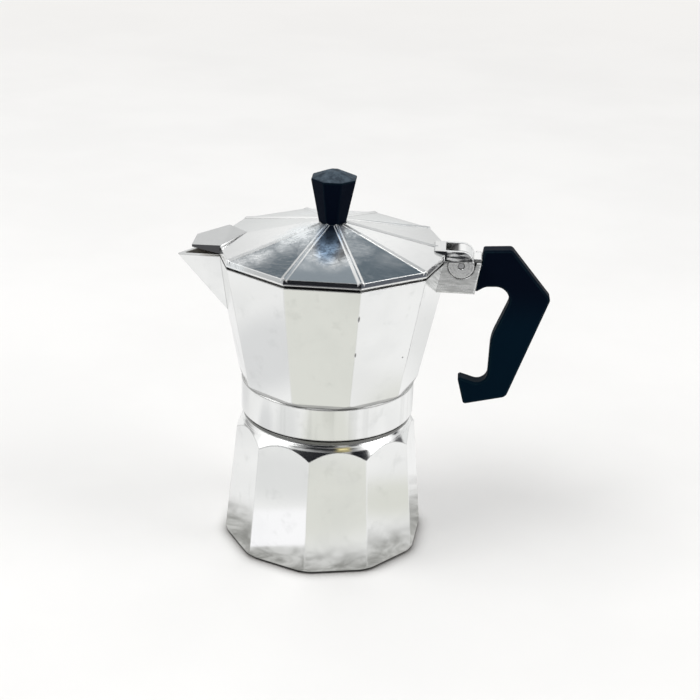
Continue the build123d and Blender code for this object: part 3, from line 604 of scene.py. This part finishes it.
def body_roughness(tree, at):
    return total(
        tree,
        fade(tree, at["film"], 0, 1, 0.10, 0.17),
        fade(tree, at["hairlines"], 0.3, 0.42, 0, 0.05),
        product(tree, at["lug_side"], 0.16),
        product(tree, at["scuffs"], 0.16),
        product(tree, at["stain"], 0.34),
        product(tree, at["painted_shade"], 0.3),
        product(tree, at["ledge"], 0.4),
        product(tree, at["turned_rings"], 0.25),
    )


def body_relief(tree, spot, at, eased):
    """The domed shoulder, slow ripples, knocks and fine scratches, over the eased edges."""
    domed = bump(tree, shoulder_rise(tree, spot), -SHOULDER_DOME, eased)
    rippled = bump(tree, noise(tree, spot, 0.045, detail=1.0), BODY_RIPPLE, domed)
    dented = bump(tree, at["knocks"], -NICK_DEPTH, rippled)
    scratches = total(tree, at["hairlines"], product(tree, at["scuffs"], 0.5), at["pin_rings"])
    return bump(tree, scratches, SCRATCH_DEPTH, dented)


def body_aluminium():
    """Polished cast aluminium of the two halves."""
    material, tree, shader, coords = new_material("body_aluminium")
    spot = coords["Object"]
    at = body_places(tree, spot, coords["Normal"])
    eased, edges = eased_edges(tree, EDGE_WIDTH)
    shader.inputs["Metallic"].default_value = 1.0
    join(tree, shader, "Base Color", body_tone(tree, spot, at, edges))
    join(tree, shader, "Roughness", body_roughness(tree, at))
    join(tree, shader, "Normal", body_relief(tree, spot, at, eased))
    return material


# Finish of the lid


def cover_side_shade(tree, spot, normal):
    """The sides of the lid's spout cover, painted dark as shade."""
    ahead = fade_mm(tree, part(tree, spot, "X"), COVER_X, 1, 0)
    upright = math_node(tree, "ABSOLUTE", part(tree, normal, "Z"))
    return product(tree, ahead, fade_out(tree, upright, 0.5, 0.7))


def wiped_patches(tree, spot):
    """The lid's dull patches, the strongest one counting where they meet."""
    shift = add(tree, "TexNoise", {"Vector": spot, "Scale": 0.12 / MM, "Detail": 5.0})["Color"]
    shift = vector_math(tree, "SUBTRACT", shift, (0.5, 0.5, 0.5))[0]
    shift = vector_math(tree, "MULTIPLY", shift, (WANDER * MM,) * 3)[0]
    ragged = vector_math(tree, "ADD", spot, shift)[0]
    marks = []
    for place, reach, strength in SMUDGES:
        apart = distance_to(tree, ragged, place, ACROSS)
        marks.append(fade(tree, apart, 0, reach, strength, 0))
    return strongest(tree, *marks)


def lid_haze(tree, spot):
    """A pale veil over the wiped patches: specked, cloudy, and thin before the knob."""
    specks = noise(tree, spot, 0.4, detail=4.0, distortion=1.2)
    clouds = noise(tree, spot, 0.07)
    return product(
        tree,
        wiped_patches(tree, spot),
        fade(tree, specks, 0.3, 0.7, 0.62, 1.38),
        fade(tree, clouds, 0.3, 0.7, 0.8, 1.2),
        fade(tree, distance_to(tree, spot, DARK_PLACE, NARROW), *DARK_REACH, 0.25, 1),
    )


def lid_places(tree, spot, normal):
    """Where the lid is hazy or worn, painted darker towards the rim, and painted with shade in its gaps
    and on the cover's sides, mostly from none to one, by name.
    """
    along = part(tree, spot, "X")
    upward = part(tree, normal, "Z")
    apart = off_axis(tree, spot)
    arms = fade_mm(tree, along, ARMS_X)
    drawn = noise(tree, stretched(tree, spot, (0.10, 0.6, 1)), 1.4, roughness=0.6)
    # painted shade deep in the lid's gaps, weaker on the hinge arms and none near the knob
    painted_shade = (crevice(tree, *BODY_GAP), fade(tree, arms, 0, 1, 1.0, 0.35), fade(tree, apart, *CLEAN_R))
    return {
        "haze": lid_haze(tree, spot),
        "mottle": noise(tree, spot, 0.7, detail=4.0, roughness=0.7, distortion=1.0),
        "streaks": noise(tree, stretched(tree, spot, (0.05, 0.7, 1)), 1.2),
        "pin_rings": pin_scratches(tree, spot),
        "arms": arms,
        "rubbed": product(tree, arms, fade(tree, drawn, 0.46, 0.62)),
        "under": fade_out(tree, upward, -0.5, -0.2),
        "painted_shade": product(tree, *painted_shade),
        "ribs": fade_out(tree, apart, *RIBS_R),
        "outer": product(
            tree,
            fade(tree, apart, *OUTER_R),
            fade(tree, arms, 0, 1, 0.8, 0),
            fade(tree, upward, 0.3, 0.6),
            fade_mm(tree, along, COVER_DULL_X, 0.55, 1),
        ),
        "blue": fade(tree, distance_to(tree, spot, BLUE_PLACE, NARROW), *BLUE_REACH, 0.9, 0),
        "cover_side_shade": cover_side_shade(tree, spot, normal),
    }


def lid_tone(tree, at, matt):
    """Aluminium with haze, painted shade towards the rim, a blue place, matt edges and wear laid over it,
    and painted shade on the cover's sides and in the gaps.
    """
    return layered(
        tree, ALUMINIUM,
        (fade(tree, at["haze"], 0, 0.4), HAZE),
        (at["outer"], LID_RIM_SHADE),
        (fade(tree, at["mottle"], 0.55, 0.75, 0, 0.35), MOTTLE),
        (at["blue"], BLUE_HAZE),
        (matt, ALUMINIUM),
        (product(tree, at["pin_rings"], 0.5), PIN_RING),
        (at["under"], STAIN),
        (at["cover_side_shade"], COVER_SHADE),
        (at["painted_shade"], SHADE_AND_KNOCKS),
    )


def lid_roughness(tree, at):
    return total(
        tree,
        fade(tree, at["haze"], 0, 1, 0.12, 0.35),
        fade(tree, at["mottle"], 0.4, 0.7, 0, 0.05),
        fade(tree, at["streaks"], 0.45, 0.65, 0, 0.04),
        product(tree, at["under"], 0.3),
        product(tree, at["painted_shade"], 0.3),
        product(tree, at["arms"], 0.06),
        product(tree, at["rubbed"], 0.42),
    )


def lid_relief(tree, spot, at, eased):
    """Slow ripples and fine scratches, over the eased edges."""
    rippled = bump(tree, noise(tree, spot, 0.05, detail=1.0), LID_RIPPLE, eased)
    mottle = product(tree, at["mottle"], 0.4)
    streaks = product(tree, at["streaks"], 0.6)
    return bump(tree, total(tree, mottle, streaks, at["pin_rings"]), SCRATCH_DEPTH, rippled)


def lid_aluminium():
    """The lid's polish, veiled where it is wiped dull and along the matt edges of its ribs."""
    material, tree, shader, coords = new_material("lid_aluminium")
    spot = coords["Object"]
    at = lid_places(tree, spot, coords["Normal"])
    eased, edges = eased_edges(tree, LID_EDGE_WIDTH)
    matt = product(tree, edges, at["ribs"], 0.88)
    veil = strongest(tree, matt, at["haze"])
    join(tree, shader, "Base Color", lid_tone(tree, at, matt))
    join(tree, shader, "Metallic", math_node(tree, "SUBTRACT", 1.0, veil))
    join(tree, shader, "Roughness", lid_roughness(tree, at))
    join(tree, shader, "Normal", lid_relief(tree, spot, at, eased))
    return material


# Other finishes


def plain_metal(name, color, roughness, grain):
    """Turned or drawn metal with fine lines round its axis, their depth in millimetres."""
    material, tree, shader, coords = new_material(name)
    spot = coords["Object"]
    shader.inputs["Metallic"].default_value = 1.0
    cloud = noise(tree, spot, 0.12)
    lines = noise(tree, stretched(tree, spot, (0.05, 0.05, 1)), 5.0, detail=2.0)
    tone = layered(
        tree, color,
        (fade(tree, cloud, 0.35, 0.7), darker(color, METAL_CLOUD)),
        # painted shade deep in gaps
        (crevice(tree, *METAL_GAP), SHADE_AND_KNOCKS),
    )
    join(tree, shader, "Base Color", tone)
    join(tree, shader, "Roughness", fade(tree, total(tree, cloud, lines), 0.7, 1.3, *roughness))
    join(tree, shader, "Normal", bump(tree, lines, grain))
    return material


def dark_plastic():
    """Near black moulded plastic, bluer low down, with a painted highlight along its edges, and dusty on
    the cap.
    """
    material, tree, shader, coords = new_material("dark_plastic")
    spot = coords["Object"]
    height = part(tree, spot, "Z")
    cloud = noise(tree, spot, 0.25, detail=4.0, roughness=0.65)
    dust = product(
        tree,
        fade(tree, part(tree, coords["Normal"], "Z"), 0.55, 0.95),
        fade(tree, cloud, 0.35, 0.7, 0.35, 1.0),
        fade_mm(tree, height, CAP_Z, 0.06, 1.0),
    )
    eased, edges = eased_edges(tree, EDGE_WIDTH)
    tone = layered(
        tree, PLASTIC,
        (fade_mm(tree, height, PLASTIC_BLUE_Z, 1, 0), PLASTIC_BLUE),
        (product(tree, edges, fade(tree, cloud, 0.3, 0.6, 0.4, 1.0)), PLASTIC_EDGE_HIGHLIGHT),
        (dust, DUST),
    )
    join(tree, shader, "Base Color", tone)
    join(tree, shader, "Roughness", fade(tree, cloud, 0.3, 0.7, 0.50, 0.62))
    shader.inputs["Specular IOR Level"].default_value = 0.04
    shader.inputs["Specular Tint"].default_value = PLASTIC_SHEEN
    join(tree, shader, "Normal", bump(tree, noise(tree, spot, 4.0, detail=2.0), PLASTIC_GRAIN, eased))
    return material


def rubber():
    material, tree, shader, coords = new_material("seal_rubber")
    spot = coords["Object"]
    cloud = noise(tree, spot, 0.2)
    tone = mix_color(tree, fade(tree, cloud, 0.3, 0.7), RUBBER, RUBBER_DARK)
    join(tree, shader, "Base Color", tone)
    join(tree, shader, "Roughness", fade(tree, cloud, 0.3, 0.7, 0.5, 0.65))
    join(tree, shader, "Normal", bump(tree, noise(tree, spot, 3.0, detail=2.0), RUBBER_GRAIN))
    return material


def paint(material, *names):
    for name in names:
        nodes[name].data.materials.clear()
        nodes[name].data.materials.append(material)


def finish_nodes():
    """Gives every node of the model its finish, and returns the finishes by name."""
    made = {
        "body": body_aluminium(),
        "lid": lid_aluminium(),
        "sheet": plain_metal("sheet_aluminium", SHEET_ALUMINIUM, (0.25, 0.42), 0.01),
        "steel": plain_metal("steel", STEEL, (0.22, 0.38), 0.008),
        "brass": plain_metal("valve_brass", BRASS, (0.2, 0.36), 0.008),
        "plastic": dark_plastic(),
        "rubber": rubber(),
    }
    paint(made["body"], "boiler", "collector")
    paint(made["lid"], "lid")
    paint(made["sheet"], "column", "funnel_basket", "funnel_tube", "funnel_screen")
    paint(made["sheet"], "filter_plate", "valve_washer")
    paint(made["steel"], "hinge_pin", "handle_screw", "knob_screw", "knob_washer")
    paint(made["steel"], "valve_poppet", "valve_spring")
    paint(made["brass"], "valve_body", "valve_cap")
    paint(made["plastic"], "handle", "knob")
    paint(made["rubber"], "gasket")
    return made


# Pieces


def new_piece(name, points, faces, material, body, slot, *replaced):
    """A smooth-shaded mesh piece from points in millimetres, riding on a body."""
    mesh = bpy.data.meshes.new(name)
    mesh.from_pydata([Vector(p) * MM for p in points], [], faces)
    shape = bmesh.new()
    shape.from_mesh(mesh)
    bmesh.ops.remove_doubles(shape, verts=shape.verts, dist=MERGE * MM)
    bmesh.ops.recalc_face_normals(shape, faces=shape.faces)
    shape.to_mesh(mesh)
    shape.free()
    mesh.polygons.foreach_set("use_smooth", [True] * len(mesh.polygons))
    mesh.set_sharp_from_angle(angle=SHARP)
    mesh.materials.append(material)
    piece = bpy.data.objects.new(name, mesh)
    bpy.context.scene.collection.objects.link(piece)
    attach(piece, body)
    if replaced:
        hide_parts(*replaced)
    return piece


def rings_to_faces(count, sides, around):
    """Faces between rings of points that follow each other, closed round when asked."""
    faces = []
    for k in range(count if around else count - 1):
        for s in range(sides):
            a, b = k * sides + s, k * sides + (s + 1) % sides
            c, d = (b + sides) % (count * sides), (a + sides) % (count * sides)
            faces.append((a, b, c, d))
    if not around:
        faces.append(tuple(range(sides)))
        faces.append(tuple(range((count - 1) * sides, count * sides)))
    return faces


def turned_ring(profile, steps):
    """Points and faces of a ring turned about the Z axis from a closed profile of radius and height."""
    points = []
    for k in range(steps):
        angle = 2 * math.pi * k / steps
        points += [(r * math.cos(angle), r * math.sin(angle), z) for r, z in profile]
    return points, rings_to_faces(steps, len(profile), True)


def node_span(name):
    """Lowest and highest corner of a node, in millimetres."""
    return [Vector(corner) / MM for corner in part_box(name)]


def gasket_profile(inner, outer, low, high):
    """A rectangle with rounded corners and a shallow groove in both flat faces, as radius and height."""
    bottom, top = low + GASKET_ROUND, high - GASKET_ROUND
    narrow, wide = inner + GASKET_ROUND, outer - GASKET_ROUND
    mouth, floor = GROOVE_HALF
    groove = ((mouth, 0), (floor, GASKET_GROOVE), (-floor, GASKET_GROOVE), (-mouth, 0))
    profile = []
    for quarter, (r, z) in enumerate(((wide, bottom), (wide, top), (narrow, top), (narrow, bottom))):
        for step in range(GASKET_STEPS + 1):
            angle = math.pi / 2 * (quarter - 1 + step / GASKET_STEPS)
            profile.append((r + GASKET_ROUND * math.cos(angle), z + GASKET_ROUND * math.sin(angle)))
        if z == top and r == wide:
            profile += [((outer + inner) / 2 + out, high - depth) for out, depth in groove]
        if z == bottom and r == narrow:
            profile += [((outer + inner) / 2 - out, low + depth) for out, depth in groove]
    return profile


def rubber_gasket(material):
    """The sealing ring, with rounded edges and a shallow groove in both faces."""
    low, high = node_span("gasket")
    outer = (high.x - low.x) / 2
    inner = min(v.co.xy.length for v in nodes["gasket"].data.vertices) / MM
    points, faces = turned_ring(gasket_profile(inner, outer, low.z, high.z), RING_STEPS)
    new_piece("gasket_ring", points, faces, material, "seal", "seal_rubber", "gasket")


def thread_ridge(name, root_r, crest_r, low, material, body):
    """A screw thread's ridge on a round wall, dying away at both ends."""
    steps = int(THREAD_STEPS * THREAD_TURNS)
    sunk = root_r + math.copysign(THREAD_SINK, root_r - crest_r)
    points = []
    for k in range(steps + 1):
        share = k / steps
        angle = THREAD_ANGLE + 2 * math.pi * THREAD_TURNS * share
        z = low + THREAD_LEAD * THREAD_TURNS * share
        from_end = THREAD_TURNS * min(share, 1 - share)
        grown = min(1.0, THREAD_GROWTH * from_end + THREAD_END_HEIGHT)
        wide = THREAD_END_WIDTH + (1 - THREAD_END_WIDTH) * grown
        crest = root_r + (crest_r - root_r) * grown
        lower = ((sunk, -THREAD_ROOT_HALF), (crest, -THREAD_CREST_HALF))
        upper = tuple((r, -up) for r, up in reversed(lower))
        for r, up in lower + upper:
            points.append((r * math.cos(angle), r * math.sin(angle), z + up * wide))
    new_piece(name, points, rings_to_faces(steps + 1, 4, False), material, body, "cast_aluminium")


def valve_axis():
    """The safety valve's axis as a way out and a point on it, in millimetres."""
    low, high = node_span("valve_cap")
    return Vector(joints["valve_lift"]["axis"]).normalized(), (low + high) / 2


def spring_rise(done, turns, length):
    """How far along a spring of the given turns and length its wire is, after some of the turns."""
    dead = SPRING_DEAD_TURNS
    close = 2 * SPRING_WIRE_R * dead
    if done < dead:
        return close * done / dead
    if done > turns - dead:
        return length - close * (turns - done) / dead
    return close + (length - 2 * close) * (done - dead) / SPRING_TURNS


def spring_points(way, middle, low, high):
    """Points round the wire of a spring along the given way, ring after ring, and how many rings."""
    side = way.cross(Vector((0, 0, 1))).normalized()
    other = way.cross(side)
    turns = SPRING_TURNS + 2 * SPRING_DEAD_TURNS
    steps = int(SPRING_STEPS * turns)
    points = []
    for k in range(steps + 1):
        done = turns * k / steps
        angle = 2 * math.pi * done
        spoke = side * math.cos(angle) + other * math.sin(angle)
        spot = middle + way * (low + spring_rise(done, turns, high - low)) + spoke * SPRING_R
        for s in range(SPRING_SIDES):
            angle = 2 * math.pi * s / SPRING_SIDES
            points.append(spot + (spoke * math.cos(angle) + way * math.sin(angle)) * SPRING_WIRE_R)
    return points, steps + 1


def wound_spring(material):
    """The valve's spring as a round wire, with close turns at both ends."""
    way, middle = valve_axis()
    along = [(Vector(v.co) / MM - middle).dot(way) for v in nodes["valve_spring"].data.vertices]
    points, count = spring_points(way, middle, min(along) + SPRING_WIRE_R, max(along) - SPRING_WIRE_R)
    faces = rings_to_faces(count, SPRING_SIDES, False)
    piece = new_piece("valve_spring_wire", points, faces, material, "boiler", "steel", "valve_spring")
    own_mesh(piece)


def hole_spots(radius):
    """Holes in rings of six, twelve, eighteen and so on about the middle one."""
    spots = [(0.0, 0.0)]
    for ring in range(1, int((radius - HOLE_MARGIN) / HOLE_PITCH) + 1):
        for k in range(6 * ring):
            angle = 2 * math.pi * (k + 0.5 * (ring % 2)) / (6 * ring)
            spots.append((ring * HOLE_PITCH * math.cos(angle), ring * HOLE_PITCH * math.sin(angle)))
    return spots


def outline(curve, middle, radius, sides):
    """Adds one closed round outline to a flat curve."""
    spline = curve.splines.new("POLY")
    spline.points.add(sides - 1)
    for k, point in enumerate(spline.points):
        angle = 2 * math.pi * k / sides
        x, y = middle[0] + radius * math.cos(angle), middle[1] + radius * math.sin(angle)
        point.co = (x * MM, y * MM, 0, 1)
    spline.use_cyclic_u = True


def perforated_plate(name, node, material, body):
    """A plate with all its small holes, cut from one flat outline."""
    low, high = node_span(node)
    radius, thick = (high.x - low.x) / 2, high.z - low.z
    curve = bpy.data.curves.new(name + "_outline", "CURVE")
    curve.dimensions = "2D"
    curve.fill_mode = "BOTH"
    curve.extrude = thick / 2 * MM
    outline(curve, (0, 0), radius, PLATE_SIDES)
    for spot in hole_spots(radius):
        outline(curve, spot, HOLE_R, HOLE_SIDES)
    holder = bpy.data.objects.new(name + "_outline", curve)
    filled = bpy.data.meshes.new_from_object(holder)
    lift = Vector((0, 0, (low.z + high.z) / 2))
    points = [Vector(v.co) / MM + lift for v in filled.vertices]
    faces = [tuple(p.vertices) for p in filled.polygons]
    bpy.data.objects.remove(holder)
    new_piece(name, points, faces, material, body, "sheet_aluminium", node)


def screw_profile(node):
    """A screw's outline as radius and height, head down, with its axis, head's radius and lowest point."""
    low, high = node_span(node)
    axis = Vector(((low.x + high.x) / 2, (low.y + high.y) / 2))
    head_r = (high.x - low.x) / 2
    spots = [Vector(v.co) / MM for v in nodes[node].data.vertices]
    out = [((spot.xy - axis).length, spot.z) for spot in spots]
    shank_r = max(r for r, z in out if z > (low.z + high.z) / 2)
    head_z = max(z for r, z in out if r > shank_r + SCREW_EDGE)
    root_r = shank_r - SCREW_THREAD
    profile = [(0, low.z), (head_r - SCREW_EDGE, low.z), (head_r, low.z + SCREW_EDGE), (head_r, head_z)]
    z = head_z
    while z < high.z - 2 * SCREW_PITCH:
        profile += [(root_r, z), (shank_r, z + SCREW_PITCH / 2)]
        z += SCREW_PITCH
    profile += [(root_r, z), (root_r, high.z - SCREW_EDGE), (0, high.z)]
    return profile, axis, head_r, low.z


def slotted_screw(name, node, material, body):
    """A screw with a slot across its head, the slot cut as a box."""
    profile, axis, head_r, low = screw_profile(node)
    points, faces = turned_ring(profile, SCREW_STEPS)
    points = [(x + axis.x, y + axis.y, z) for x, y, z in points]
    piece = new_piece(name, points, faces, material, body, "steel", node)
    bpy.ops.mesh.primitive_cube_add(size=1, location=(axis.x * MM, axis.y * MM, low * MM))
    slot = bpy.context.object
    slot.scale = metres((SLOT_LENGTH * head_r, SLOT_SHARE * head_r, SLOT_SHARE * head_r))
    cut = piece.modifiers.new("slot", "BOOLEAN")
    cut.operation = "DIFFERENCE"
    cut.object = slot
    shown = piece.evaluated_get(bpy.context.evaluated_depsgraph_get())
    plain = piece.data
    piece.data = bpy.data.meshes.new_from_object(shown)
    piece.modifiers.clear()
    bpy.data.meshes.remove(plain)
    bpy.data.objects.remove(slot)


def make_pieces(made):
    rubber_gasket(made["rubber"])
    wound_spring(made["steel"])
    neck_low = BAND_Z[0] + THREAD_START
    thread_ridge("neck_thread", NECK_R, NECK_R + THREAD_DEPTH, neck_low, made["body"], "boiler")
    skirt_low = neck_low + THREAD_LEAD / 2
    thread_ridge("skirt_thread", SKIRT_R, SKIRT_R - THREAD_DEPTH, skirt_low, made["body"], "collector")
    slotted_screw("knob_screw_slotted", "knob_screw", made["steel"], "lid")
    slotted_screw("handle_screw_slotted", "handle_screw", made["steel"], "collector")
    perforated_plate("filter_sheet", "filter_plate", made["sheet"], "seal")
    perforated_plate("basket_sheet", "funnel_screen", made["sheet"], "funnel")


# Studio


def sideways(tree, along, azimuth):
    """How far a direction lies round from the azimuth, in degrees."""
    angle = math.radians(azimuth)
    flat = vector_math(tree, "NORMALIZE", flat_part(tree, along))[0]
    middle = (math.cos(angle), math.sin(angle), 0)
    turn = vector_math(tree, "DOT_PRODUCT", flat, middle)["Value"]
    return math_node(tree, "DEGREES", math_node(tree, "ARCCOSINE", turn))


def sky_patch(tree, along, rise, azimuth, reach, start, end):
    """A soft-edged part of the sky, round an azimuth and from a start to an end upwards."""
    return product(
        tree,
        fade_out(tree, sideways(tree, along, azimuth), *reach),
        fade(tree, rise, *start),
        fade_out(tree, rise, *end),
    )


def mirrored_sky(tree):
    """What the metal shows of the sky, such as a dark room before the pot and a slate wall behind it."""
    along = add(tree, "TexCoord")["Generated"]
    rise = math_node(tree, "DEGREES", math_node(tree, "ARCSINE", part(tree, along, "Z")))
    tone = mix_color(tree, fade(tree, rise, *ZENITH_RISE), SKY, ZENITH)
    tone = mix_color(tree, fade_out(tree, rise, *HORIZON_RISE), tone, HORIZON)
    for *where, upper in SKY_PATCHES:
        tone = mix_color(tree, sky_patch(tree, along, rise, *where), tone, upper)
    wall = mix_color(tree, fade(tree, rise, *WALL_CHANGE), WALL_LOW, WALL_HIGH)
    return mix_color(tree, sky_patch(tree, along, rise, *WALL_PATCH), tone, wall)


def studio_world():
    """A plain pale sky for the camera and for diffuse light, and the mirrored one for the metal."""
    world = bpy.data.worlds.new("studio")
    bpy.context.scene.world = world
    world.use_nodes = True
    tree = world.node_tree
    path = add(tree, "LightPath")
    seen = mix_color(tree, path["Is Glossy Ray"], (DIFFUSE_WORLD,) * 3 + (1,), mirrored_sky(tree))
    plain = strongest(tree, path["Is Camera Ray"], path["Is Transmission Ray"])
    tree.links.new(mix_color(tree, plain, seen, PALE), tree.nodes["Background"].inputs["Color"])


def card_share(tree, spot):
    """Where the white card lies on the mirrored floor."""
    apart = vector_math(tree, "SUBTRACT", spot, metres(CARD_PLACE))[0]
    inputs = {"Vector": apart, "Angle": -CARD_TURN}
    turned = add(tree, "VectorRotate", inputs, rotation_type="Z_AXIS")[0]
    return product(
        tree,
        between(tree, part(tree, turned, "X"), CARD_X, CARD_SOFT[0]),
        between(tree, part(tree, turned, "Y"), CARD_Y, CARD_SOFT[1]),
    )


def mirrored_stone(tree, spot):
    """What the metal shows of the floor: pale stone, with painted shade before the pot and a painted
    shadow close to its foot.
    """
    mottled = fade(tree, noise(tree, spot, 0.012), 0.35, 0.65)
    tone = mix_color(tree, mottled, STONE, STONE_VEIN)
    for place, inner, outer, dull in STONE_SPOTS:
        patch = fade_out(tree, distance_to(tree, spot, place, ACROSS), inner, outer)
        tone = mix_color(tree, patch, tone, dull)
    rough = noise(tree, spot, 0.06, detail=5.0, roughness=0.65, distortion=1.2)
    veins = fade(tree, rough, 0.36, 0.66)
    apart = total(tree, off_axis(tree, spot), product(tree, veins, NEAR_WANDER))
    depth = product(tree, part(tree, spot, "Y"), -1 / MM)
    return layered(
        tree, tone,
        (fade_out(tree, apart, *NEAR_REACH), mix_color(tree, veins, STONE_NEAR_SHADOW, STONE_NEAR_SHADOW_VEIN)),
        (fade(tree, depth, *FAR_DEPTH), STONE_FAR_SHADE),
        (fade_out(tree, depth, *BACK_DEPTH), STONE_BACK),
        (card_share(tree, spot), CARD),
    )


def pale_floor():
    """A lit floor that goes over into the plain backdrop, and the mirrored stone for the metal."""
    bpy.ops.mesh.primitive_plane_add(size=FLOOR_SIZE)
    floor = bpy.context.object
    floor.name = "floor"
    material, tree, shader, coords = new_material("pale_floor")
    spot = coords["Object"]
    cloud = noise(tree, spot, 0.006, detail=4.0)
    tone = layered(
        tree, FLOOR_COLOR,
        (fade(tree, cloud, 0.35, 0.65), darker(FLOOR_COLOR, FLOOR_CLOUD)),
        (crevice(tree, *FLOOR_GAP), FLOOR_SHADE),
    )
    join(tree, shader, "Base Color", tone)
    shader.inputs["Roughness"].default_value = 0.6
    shader.inputs["Specular IOR Level"].default_value = 0.2
    path = add(tree, "LightPath")
    far = product(tree, fade(tree, off_axis(tree, spot), *FLOOR_REACH), path["Is Camera Ray"])
    plain = add(tree, "Emission", {"Color": PALE})[0]
    lit = add(tree, "MixShader", {0: far, 1: shader.outputs[0], 2: plain})[0]
    shown = add(tree, "Emission", {"Color": mirrored_stone(tree, spot)})[0]
    both = add(tree, "MixShader", {0: path["Is Glossy Ray"], 1: lit, 2: shown})[0]
    tree.links.new(both, tree.nodes["Material Output"].inputs["Surface"])
    floor.data.materials.append(material)


def soft_light(name, place, size, power):
    lamp = bpy.data.lights.new(name, "AREA")
    lamp.shape = "DISK"
    lamp.size = size
    lamp.energy = power
    holder = bpy.data.objects.new(name, lamp)
    holder.location = place
    holder.rotation_euler = (LIGHT_TARGET - Vector(place)).to_track_quat("-Z", "Y").to_euler()
    bpy.context.scene.collection.objects.link(holder)


def photo_camera():
    forward = (CAMERA_TARGET - CAMERA_PLACE).normalized()
    right = forward.cross(Vector((0, 0, 1))).normalized()
    up = right.cross(forward)
    rolled_right = right * math.cos(CAMERA_ROLL) + up * math.sin(CAMERA_ROLL)
    rolled_up = up * math.cos(CAMERA_ROLL) - right * math.sin(CAMERA_ROLL)
    lens = bpy.data.cameras.new("camera")
    lens.lens = CAMERA_LENS
    lens.sensor_width = CAMERA_SENSOR
    lens.clip_start = CAMERA_NEAR
    camera = bpy.data.objects.new("camera", lens)
    turn = Matrix((rolled_right, rolled_up, -forward)).transposed()
    camera.matrix_world = Matrix.Translation(CAMERA_PLACE) @ turn.to_4x4()
    bpy.context.scene.collection.objects.link(camera)
    bpy.context.scene.camera = camera


make_pieces(finish_nodes())
studio_world()
pale_floor()
for light in LIGHTS:
    soft_light(*light)
photo_camera()
bpy.context.scene.view_settings.view_transform = "Standard"
